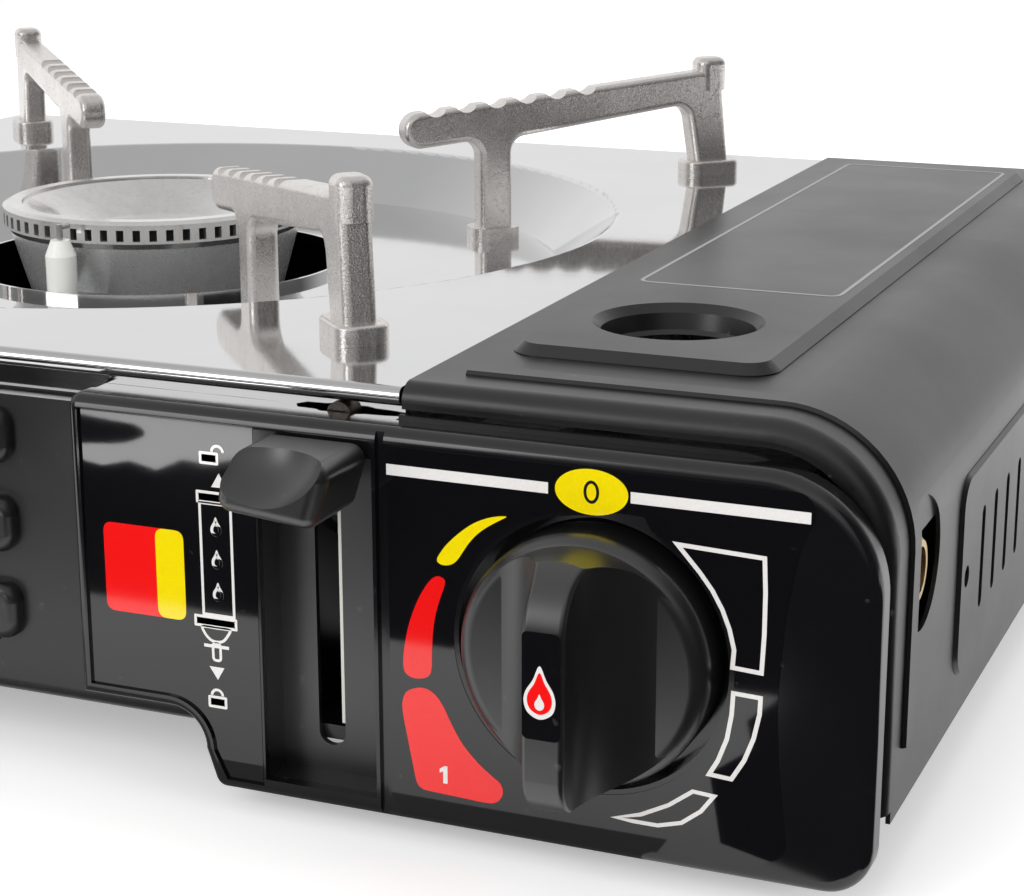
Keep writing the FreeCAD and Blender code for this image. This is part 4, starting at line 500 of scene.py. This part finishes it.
def make_materials():
    return {
        "case_black": coated_material(
            "case_paint", (0.008, 0.008, 0.009), (0.013, 0.013, 0.014), (0.26, 0.36),
            1800.0, mm(0.02), Specular_IOR_Level=0.8),
        "foot_rubber": coated_material(
            "foot_rubber", (0.018, 0.018, 0.018), (0.045, 0.045, 0.045), (0.6, 0.8),
            900.0, mm(0.05)),
        "mirror_steel": sheet_material(
            "mirror_steel", (0.80, 0.80, 0.80), (0.70, 0.70, 0.71), (0.035, 0.10),
            (0.02, 1.0, 1.0), 700.0, mm(0.0006)),
        "cast_support": cast_material(
            "cast_support", (0.90, 0.86, 0.83), (0.60, 0.57, 0.55), (0.20, 0.40),
            3000.0, mm(0.12), 0.9),
        "screw_steel": sheet_material(
            "screw_steel", (0.62, 0.61, 0.59), (0.42, 0.41, 0.39), (0.25, 0.4),
            (1.0, 1.0, 1.0), 900.0, mm(0.01)),
        "old_screw": cast_material(
            "old_screw", (0.24, 0.20, 0.17), (0.05, 0.04, 0.035), (0.35, 0.7),
            1700.0, mm(0.18)),
        "cast_burner": cast_material(
            "cast_burner", (0.82, 0.81, 0.80), (0.58, 0.57, 0.56), (0.16, 0.30),
            2400.0, mm(0.012), 0.85),
        "burner_grey": cast_material(
            "burner_grey", (0.66, 0.66, 0.66), (0.50, 0.50, 0.50), (0.24, 0.38),
            2400.0, mm(0.012), 0.6),
        "galvanised": sheet_material(
            "galvanised", (0.56, 0.57, 0.58), (0.40, 0.41, 0.42), (0.3, 0.5),
            (1.0, 1.0, 1.0), 160.0, mm(0.01)),
        "brass": sheet_material(
            "brass", (0.80, 0.60, 0.30), (0.55, 0.37, 0.15), (0.18, 0.34),
            (1.0, 0.05, 0.05), 2200.0, mm(0.02)),
        "pipe_aluminium": sheet_material(
            "pipe_aluminium", (0.72, 0.72, 0.72), (0.6, 0.6, 0.6), (0.28, 0.4),
            (0.05, 1.0, 1.0), 1500.0, mm(0.01)),
        "die_cast": cast_material(
            "die_cast", (0.55, 0.55, 0.55), (0.36, 0.36, 0.36), (0.35, 0.5),
            1200.0, mm(0.05)),
        "knob_plastic": coated_material(
            "knob_plastic", (0.006, 0.006, 0.0065), (0.010, 0.010, 0.011), (0.30, 0.40),
            3200.0, mm(0.015), Specular_IOR_Level=1.0, Coat_Weight=0.8, Coat_Roughness=0.34),
        "cam_plastic": coated_material(
            "cam_plastic", (0.70, 0.70, 0.67), (0.76, 0.76, 0.73), (0.4, 0.5),
            2000.0, mm(0.01)),
        "igniter_plastic": coated_material(
            "igniter_plastic", (0.60, 0.60, 0.57), (0.68, 0.68, 0.66), (0.3, 0.4),
            2000.0, mm(0.01)),
        "white_ceramic": coated_material(
            "white_ceramic", (0.82, 0.82, 0.79), (0.88, 0.88, 0.86), (0.12, 0.22),
            1500.0, mm(0.01)),
        "panel_gloss": coated_material(
            "panel_gloss", (0.004, 0.004, 0.005), (0.007, 0.007, 0.008), (0.10, 0.18),
            260.0, mm(0.02), Specular_IOR_Level=0.9),
        "film": coated_material(
            "printed_film", (0.003, 0.003, 0.004), (0.005, 0.005, 0.006), (0.03, 0.07),
            420.0, mm(0.004), Specular_IOR_Level=0.9),
        # Near-black rough finish of the port plates: painted shade of the ports' dark depths
        "port_shade_black": coated_material(
            "port_shade_black", (0.006, 0.006, 0.006), (0.012, 0.011, 0.010), (0.7, 0.9),
            2600.0, mm(0.02)),
        "pale_strip": coated_material(
            "pale_strip", (0.66, 0.66, 0.60), (0.74, 0.74, 0.68), (0.4, 0.5),
            1500.0, mm(0.02)),
        "cover_powder": coated_material(
            "cover_powder", (0.004, 0.004, 0.0045), (0.008, 0.008, 0.008), (0.30, 0.38),
            2400.0, mm(0.04), Specular_IOR_Level=0.9),
    }


def make_inks():
    return {
        "white": ink_material("ink_white", (0.76, 0.74, 0.72)),
        "yellow": ink_material("ink_yellow", (0.86, 0.68, 0.0)),
        "red": ink_material("ink_red", (0.84, 0.006, 0.006)),
        # Black serves the printed nought and also the painted shade of the screw's cross recess
        "black": ink_material("black_ink_and_shade", (0.01, 0.01, 0.01)),
        "grey": ink_material("ink_grey", (0.30, 0.30, 0.30), 0.4),
    }


def paint_nodes(materials):
    """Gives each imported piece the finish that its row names."""
    for row in frame["record"]["subparts"]:
        piece = NODES[row["node"]]
        piece.data.materials.clear()
        piece.data.materials.append(materials[row["material_slot"]])


# Outlines, as lists of (across, up) points in millimetres

def box_loop(left, right, low, high):
    return [(left, low), (right, low), (right, high), (left, high)]


def arc(x, z, radius, start, end, steps):
    """Points of an arc about (x, z), degrees from +X towards +Z."""
    points = []
    for step in range(steps + 1):
        angle = math.radians(start + (end - start) * step / steps)
        points.append((x + radius * math.cos(angle), z + radius * math.sin(angle)))
    return points


def ellipse(x, z, half_x, half_z, steps=40):
    points = []
    for step in range(steps):
        angle = 2 * math.pi * step / steps
        points.append((x + half_x * math.cos(angle), z + half_z * math.sin(angle)))
    return points


def rounded(points, radius, steps=6):
    """A closed outline with its corners rounded by short curves."""
    result = []
    count = len(points)
    for index, corner in enumerate(points):
        before = Vector(points[index - 1])
        after = Vector(points[(index + 1) % count])
        corner = Vector(corner)
        reach_back = min(radius, (before - corner).length * 0.45)
        reach_on = min(radius, (after - corner).length * 0.45)
        start = corner + (before - corner).normalized() * reach_back
        end = corner + (after - corner).normalized() * reach_on
        for step in range(steps + 1):
            part = step / steps
            spot = start * (1 - part) ** 2 + corner * 2 * part * (1 - part) + end * part ** 2
            result.append((spot.x, spot.y))
    return result


def smooth(points, steps):
    """A closed outline that runs in an even curve through its points."""
    result = []
    count = len(points)
    for index in range(count):
        a, b, c, d = (Vector(points[(index + shift) % count]) for shift in (-1, 0, 1, 2))
        for step in range(steps):
            t = step / steps
            spot = 0.5 * (2 * b + (c - a) * t + (2 * a - 5 * b + 4 * c - d) * t * t
                          + (3 * b - a - 3 * c + d) * t * t * t)
            result.append((spot.x, spot.y))
    return result


def shifted(loop, across, up, scale=1.0):
    return [(across + x * scale, up + z * scale) for x, z in loop]


def shrunk(loop, width):
    """The same outline, moved inwards by width."""
    count = len(loop)
    area = 0
    for index in range(count):
        here = loop[index]
        after = loop[(index + 1) % count]
        area += here[0] * after[1] - after[0] * here[1]
    side = 1 if area > 0 else -1
    result = []
    for index in range(count):
        before = Vector(loop[index - 1])
        here = Vector(loop[index])
        after = Vector(loop[(index + 1) % count])
        first = (here - before).normalized()
        second = (after - here).normalized()
        normal_one = Vector((-first.y, first.x)) * side
        normal_two = Vector((-second.y, second.x)) * side
        joined = normal_one + normal_two
        if joined.length < 1e-6:
            joined = normal_one
        joined.normalize()
        # The lower limit keeps a sharp corner from shooting out
        stretch = width / max(0.35, joined.dot(normal_one))
        result.append((here.x + joined.x * stretch, here.y + joined.y * stretch))
    return result


def outlined(loop, width):
    return [loop, shrunk(loop, width)]


DROP = [(0.0, 2.3), (0.55, 1.2), (1.15, 0.2), (1.3, -0.75), (0.95, -1.6), (0.0, -2.05),
        (-0.95, -1.6), (-1.3, -0.75), (-1.15, 0.15), (-0.55, 1.1)]


# Films and prints: thin closed sheets cut from outlines

def sheet_piece(name, loops, face, thick, lift=0.0, plane="front"):
    """Thin closed sheet from an outer loop and any inner loops, on a front face or on a top."""
    curve = bpy.data.curves.new(name + "_cut", "CURVE")
    curve.dimensions = "2D"
    curve.fill_mode = "BOTH"
    curve.extrude = mm(thick) / 2
    for loop in loops:
        spline = curve.splines.new("POLY")
        spline.points.add(len(loop) - 1)
        for point, (across, up) in zip(spline.points, loop):
            point.co = (mm(across), mm(up), 0, 1)
        spline.use_cyclic_u = True
    cutter = bpy.data.objects.new(name + "_cut", curve)
    mesh = bpy.data.meshes.new_from_object(cutter)
    mesh.name = name
    bpy.data.objects.remove(cutter)
    bpy.data.curves.remove(curve)
    middle = lift + thick / 2
    for vertex in mesh.vertices:
        across, up, depth = vertex.co
        if plane == "front":
            vertex.co = (across, mm(face - middle) - depth, up)
        else:
            vertex.co = (across, up, mm(face + middle) + depth)
    shape = bmesh.new()
    shape.from_mesh(mesh)
    bmesh.ops.remove_doubles(shape, verts=shape.verts, dist=1e-7)
    bmesh.ops.recalc_face_normals(shape, faces=shape.faces)
    shape.to_mesh(mesh)
    shape.free()
    piece = bpy.data.objects.new(name, mesh)
    bpy.context.scene.collection.objects.link(piece)
    return piece


def finish_piece(piece, body, material):
    piece.data.materials.clear()
    piece.data.materials.append(material)
    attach(piece, body)


def print_on(name, loops, material, face, body="stove", plane="front",
             thick=PRINT_LIFT, lift=FILM_LIFT):
    piece = sheet_piece(name, loops, face, thick, lift, plane)
    finish_piece(piece, body, material)


def make_films(materials):
    """The two glossy printed films: left of the lever, and round the knob."""
    low_corner = arc(42.6, 11.8, 9.5, 90, 0, 12)[1:]
    left = [(27.1, 72.4), (27.1, 21.3), (42.6, 21.3), *low_corner, (54.7, 7.1), (61.3, 7.1),
            (61.3, 72.4)]
    piece = sheet_piece("left_film", [left], LEFT_FACE, FILM_LIFT)
    finish_piece(piece, "stove", materials["film"])
    right = [(87.0, 72.2), (87.0, 7.4), (152.0, 7.4), (157.6, 10.6), (155.8, 26.0), (155.3, 37.0),
             (156.2, 51.2), (158.2, 63.0), (161.0, 69.0), (159.0, 72.2)]
    knob_hole = arc(KNOB_X, KNOB_Z, 24.6, 360, 0, 96)[:-1]
    piece = sheet_piece("knob_film", [rounded(right, 2.2), knob_hole], PANEL_Y, FILM_LIFT)
    finish_piece(piece, "stove", materials["film"])


def make_knob_prints(inks):
    """Stripes, dial badge, swooshes and the empty fields of the flame scale."""
    white = inks["white"]
    yellow = inks["yellow"]
    red = inks["red"]
    print_on("stripe_left", [box_loop(86.9, 115.9, 67.2, 69.1)], white, PANEL_Y)
    print_on("stripe_right", [box_loop(130.1, 159.8, 67.2, 69.1)], white, PANEL_Y)
    print_on("dial_badge", [ellipse(123.4, 68.3, 6.3, 3.85)], yellow, PANEL_Y)
    nought = [ellipse(123.4, 68.3, 1.35, 1.95, 28), ellipse(123.4, 68.3, 0.85, 1.42, 28)]
    print_on("dial_nought", nought, inks["black"], PANEL_Y, lift=SECOND_INK)
    swoosh = [(96.0, 53.4), (96.5, 54.5), (97.8, 56.3), (99.9, 58.4), (102.3, 60.3), (104.6, 61.5),
              (106.8, 62.2), (108.6, 62.4), (107.2, 61.5), (105.3, 60.3), (103.4, 58.8),
              (101.9, 57.1), (100.7, 55.3), (99.7, 53.8), (98.6, 52.9), (97.3, 52.6), (96.4, 52.8)]
    print_on("swoosh_low", [smooth(swoosh, 4)], yellow, PANEL_Y)
    band = [(96.0, 50.5), (94.7, 49.6), (93.2, 47.4), (91.8, 44.5), (90.6, 41.0), (89.8, 37.3),
            (89.5, 34.2), (89.8, 32.5), (91.1, 31.7), (93.0, 31.8), (94.3, 32.5), (94.8, 34.0),
            (94.9, 36.9), (95.1, 40.3), (95.6, 43.5), (96.4, 46.3), (97.3, 48.9), (97.3, 50.1)]
    print_on("swoosh_middle", [smooth(band, 4)], red, PANEL_Y)
    wedge = [(91.8, 29.9), (90.1, 29.0), (89.3, 27.3), (89.3, 25.0), (90.1, 20.6), (91.0, 16.0),
             (91.7, 12.7), (92.6, 11.6), (94.2, 11.3), (99.3, 11.1), (104.4, 10.9), (106.4, 11.2),
             (107.5, 12.3), (107.8, 13.6), (107.3, 14.9), (105.8, 16.0), (103.1, 18.1),
             (100.4, 21.0), (98.4, 24.3), (97.0, 27.1), (95.8, 28.8), (94.6, 29.7), (93.3, 30.1)]
    print_on("swoosh_high", [smooth(wedge, 4)], red, PANEL_Y)
    one = [(-0.45, -1.6), (0.35, -1.6), (0.35, 1.6), (-0.2, 1.6), (-1.1, 0.95), (-1.1, 0.25),
           (-0.45, 0.6)]
    print_on("dial_one", [shifted(one, 97.2, 14.8)], white, PANEL_Y, lift=SECOND_INK)
    knob_edge = arc(KNOB_X, KNOB_Z, 24.4, 10, 42, 4)
    scale_large = [(137.2, 61.7), (152.9, 61.1), (153.2, 55.0), (153.2, 48.0), (152.9, 41.1),
                   (147.3, 41.4), *knob_edge]
    print_on("scale_large", outlined(scale_large, 0.75), white, PANEL_Y)
    scale_middle = [(147.6, 37.8), (152.9, 37.6), (152.8, 34.4), (151.9, 30.0), (150.4, 25.9),
                    (148.2, 22.1), (143.6, 22.4), (145.3, 25.5), (146.7, 29.4), (147.4, 33.7)]
    print_on("scale_middle", outlined(scale_middle, 0.75), white, PANEL_Y)
    scale_small = [(141.4, 19.6), (145.8, 19.3), (143.2, 15.7), (139.8, 13.0), (135.6, 11.8),
                   (131.2, 11.8), (127.2, 12.2), (132.4, 13.9), (137.2, 16.4)]
    print_on("scale_small", outlined(scale_small, 0.7), white, PANEL_Y)


def make_left_prints(inks):
    """Tile, cartridge sign, padlock signs and arrows on the left film."""
    white = inks["white"]
    tile = rounded(box_loop(30.6, 46.9, 35.6, 52.2), 1.8)
    print_on("tile_red", [tile], inks["red"], LEFT_FACE)
    corner = rounded(box_loop(41.2, 46.9, 35.6, 52.2), 1.8)
    print_on("tile_yellow", [corner], inks["yellow"], LEFT_FACE, lift=SECOND_INK)
    dome = [(49.9, 35.2), (50.3, 33.7), (51.5, 32.5), (52.8, 32.2), (54.2, 32.5), (55.3, 33.7),
            (55.8, 35.2), (52.8, 35.3)]
    shapes = {
        "can_cap": rounded(box_loop(49.8, 57.2, 57.9, 60.2), 0.2),
        "can_body": box_loop(50.2, 56.8, 37.2, 58.2),
        "can_flange": rounded(box_loop(48.5, 57.1, 35.0, 37.2), 0.2),
        "can_dome": smooth(dome, 4),
        "can_spout": rounded(box_loop(51.8, 53.8, 28.7, 32.4), 0.9),
    }
    for name, loop in shapes.items():
        print_on(name, outlined(loop, 0.5), white, LEFT_FACE)
    collar = box_loop(50.3, 55.3, 31.3, 31.9)
    print_on("can_collar", [collar], white, LEFT_FACE, lift=SECOND_INK)
    for index, level in enumerate((53.7, 47.7, 41.7)):
        drop = smooth(shifted(DROP, 53.5, level, 0.82), 3)
        print_on(f"can_drop_{index + 1}", outlined(drop, 0.55), white, LEFT_FACE)
    print_on("arrow_up", [[(52.9, 61.0), (55.9, 61.0), (54.5, 63.6)]], white, LEFT_FACE)
    print_on("arrow_down", [[(51.2, 27.7), (54.2, 27.7), (52.8, 25.3)]], white, LEFT_FACE)
    make_padlock("lock_open", 52.6, 65.0, 1.1, white)
    make_padlock("lock_shut", 52.6, 19.9, 0.0, white)


def make_padlock(name, across, low, swing, white):
    """A plain padlock sign: body and shackle, the shackle aside when open."""
    body = rounded(box_loop(across - 1.9, across + 1.9, low, low + 2.3), 0.35)
    print_on(name, outlined(body, 0.5), white, LEFT_FACE)
    middle = across + swing * 1.6
    high = low + 2.4
    bow = arc(middle, high, 1.35, 180, 0, 12) + arc(middle, high, 0.85, 0, 180, 12)
    print_on(name + "_bow", [bow], white, LEFT_FACE, lift=SECOND_INK)


def make_knob_sign(materials, inks):
    """Small gloss plate on the knob's grip with a drop for the flame."""
    plate = rounded(box_loop(KNOB_X - 3.2, KNOB_X + 3.2, 33.9, 51.8), 1.1)
    piece = sheet_piece("knob_sign", [plate], KNOB_FACE, SIGN_THICK)
    finish_piece(piece, "knob", materials["film"])
    layers = (("sign_rim", 41.6, 2.05, "white"), ("sign_drop", 41.5, 1.6, "red"),
              ("sign_heart", 40.2, 0.62, "white"))
    for index, (name, level, scale, ink) in enumerate(layers):
        drop = smooth(shifted(DROP, KNOB_X - 0.2, level, scale), 4)
        lift = SIGN_THICK + index * PRINT_LIFT
        print_on(name, [drop], inks[ink], KNOB_FACE, "knob", lift=lift)


def make_cover_label(inks):
    """Pale border of the empty label field on the cover."""
    border = rounded(box_loop(97.6, 139.0, -35.4, 129.5), 3.0)
    print_on("label_border", outlined(border, 0.8), inks["grey"], CROWN_TOP, "cover",
             "top", 0.05, 0.0)


# Small pieces that the solids leave out

def make_ledge(materials):
    """Glossy ledge of the panel, back to the plate's skirt, cut out round the screw."""
    thick = 0.3
    back = -119.5
    notch = -121.5
    outline = [(27.0, LEDGE_FRONT), (85.8, LEDGE_FRONT), (85.8, -120.6), (83.0, notch + 0.3),
               (79.4, notch), (77.6, -122.3), (71.2, -122.3), (70.0, notch), (66.4, notch + 0.2),
               (64.8, back + 0.7), (62.6, back + 0.1), (55.0, back), (46.0, back + 0.08),
               (37.0, back), (27.0, back)]
    piece = sheet_piece("panel_ledge", [outline], LEDGE_TOP - thick, thick, plane="top")
    finish_piece(piece, "stove", materials["film"])


def make_screw_cross(inks):
    """Painted shade of the worn cross recess in the head of the screw over the panel: a flat black
    sheet on the screw's face.
    """
    wide = 1.35
    narrow = 0.42
    cross = [(narrow, wide), (-narrow, wide), (-narrow, narrow), (-wide, narrow),
             (-wide, -narrow), (-narrow, -narrow), (-narrow, -wide), (narrow, -wide),
             (narrow, -narrow), (wide, -narrow), (wide, narrow), (narrow, narrow)]
    slant = 0.7071
    turned = [((x - z) * slant, (x + z) * slant) for x, z in rounded(cross, 0.3, 3)]
    # Flat black sheet: painted shade of the cross recess
    print_on("screw_recess_shade", [shifted(turned, 74.4, 74.4)], inks["black"], SCREW_FACE,
             thick=0.05, lift=0.0)


def make_port_shade_plates(materials):
    """Painted shade inside each flame port: a small near-black plate a little way in from the
    ring's face, standing in for the port's dark depth.
    """
    thick = 0.12
    wide = 1.66
    tall = 2.56
    shape = bmesh.new()
    for index in range(RING_PORTS):
        angle = 2 * math.pi * index / RING_PORTS
        out = Vector((math.cos(angle), math.sin(angle), 0))
        side = Vector((-out.y, out.x, 0))
        for corner in bmesh.ops.create_cube(shape, size=1.0)["verts"]:
            local = corner.co.copy()
            spot = BURNER_PLACE + out * (PORT_DEPTH + local.x * thick) + side * (local.y * wide)
            corner.co = mm(spot.x, spot.y, PORT_MIDDLE + local.z * tall)
    mesh = bpy.data.meshes.new("port_shade_plates")
    shape.to_mesh(mesh)
    shape.free()
    piece = bpy.data.objects.new("port_shade_plates", mesh)
    bpy.context.scene.collection.objects.link(piece)
    # The near-black plates are painted shade, put where the ports' hollows fall dark
    finish_piece(piece, "stove", materials["port_shade_black"])


make_camera()
make_world()
make_floor()
for lamp_row in LAMPS:
    make_lamp(*lamp_row)
make_cards()
MATERIALS = make_materials()
paint_nodes(MATERIALS)
INKS = make_inks()
make_films(MATERIALS)
make_knob_prints(INKS)
make_left_prints(INKS)
make_knob_sign(MATERIALS, INKS)
make_cover_label(INKS)
make_ledge(MATERIALS)
make_screw_cross(INKS)
make_port_shade_plates(MATERIALS)

CAD_BOX = [list(corner) for corner in CAD_BOX]
bpy.context.scene.view_settings.view_transform = "Standard"
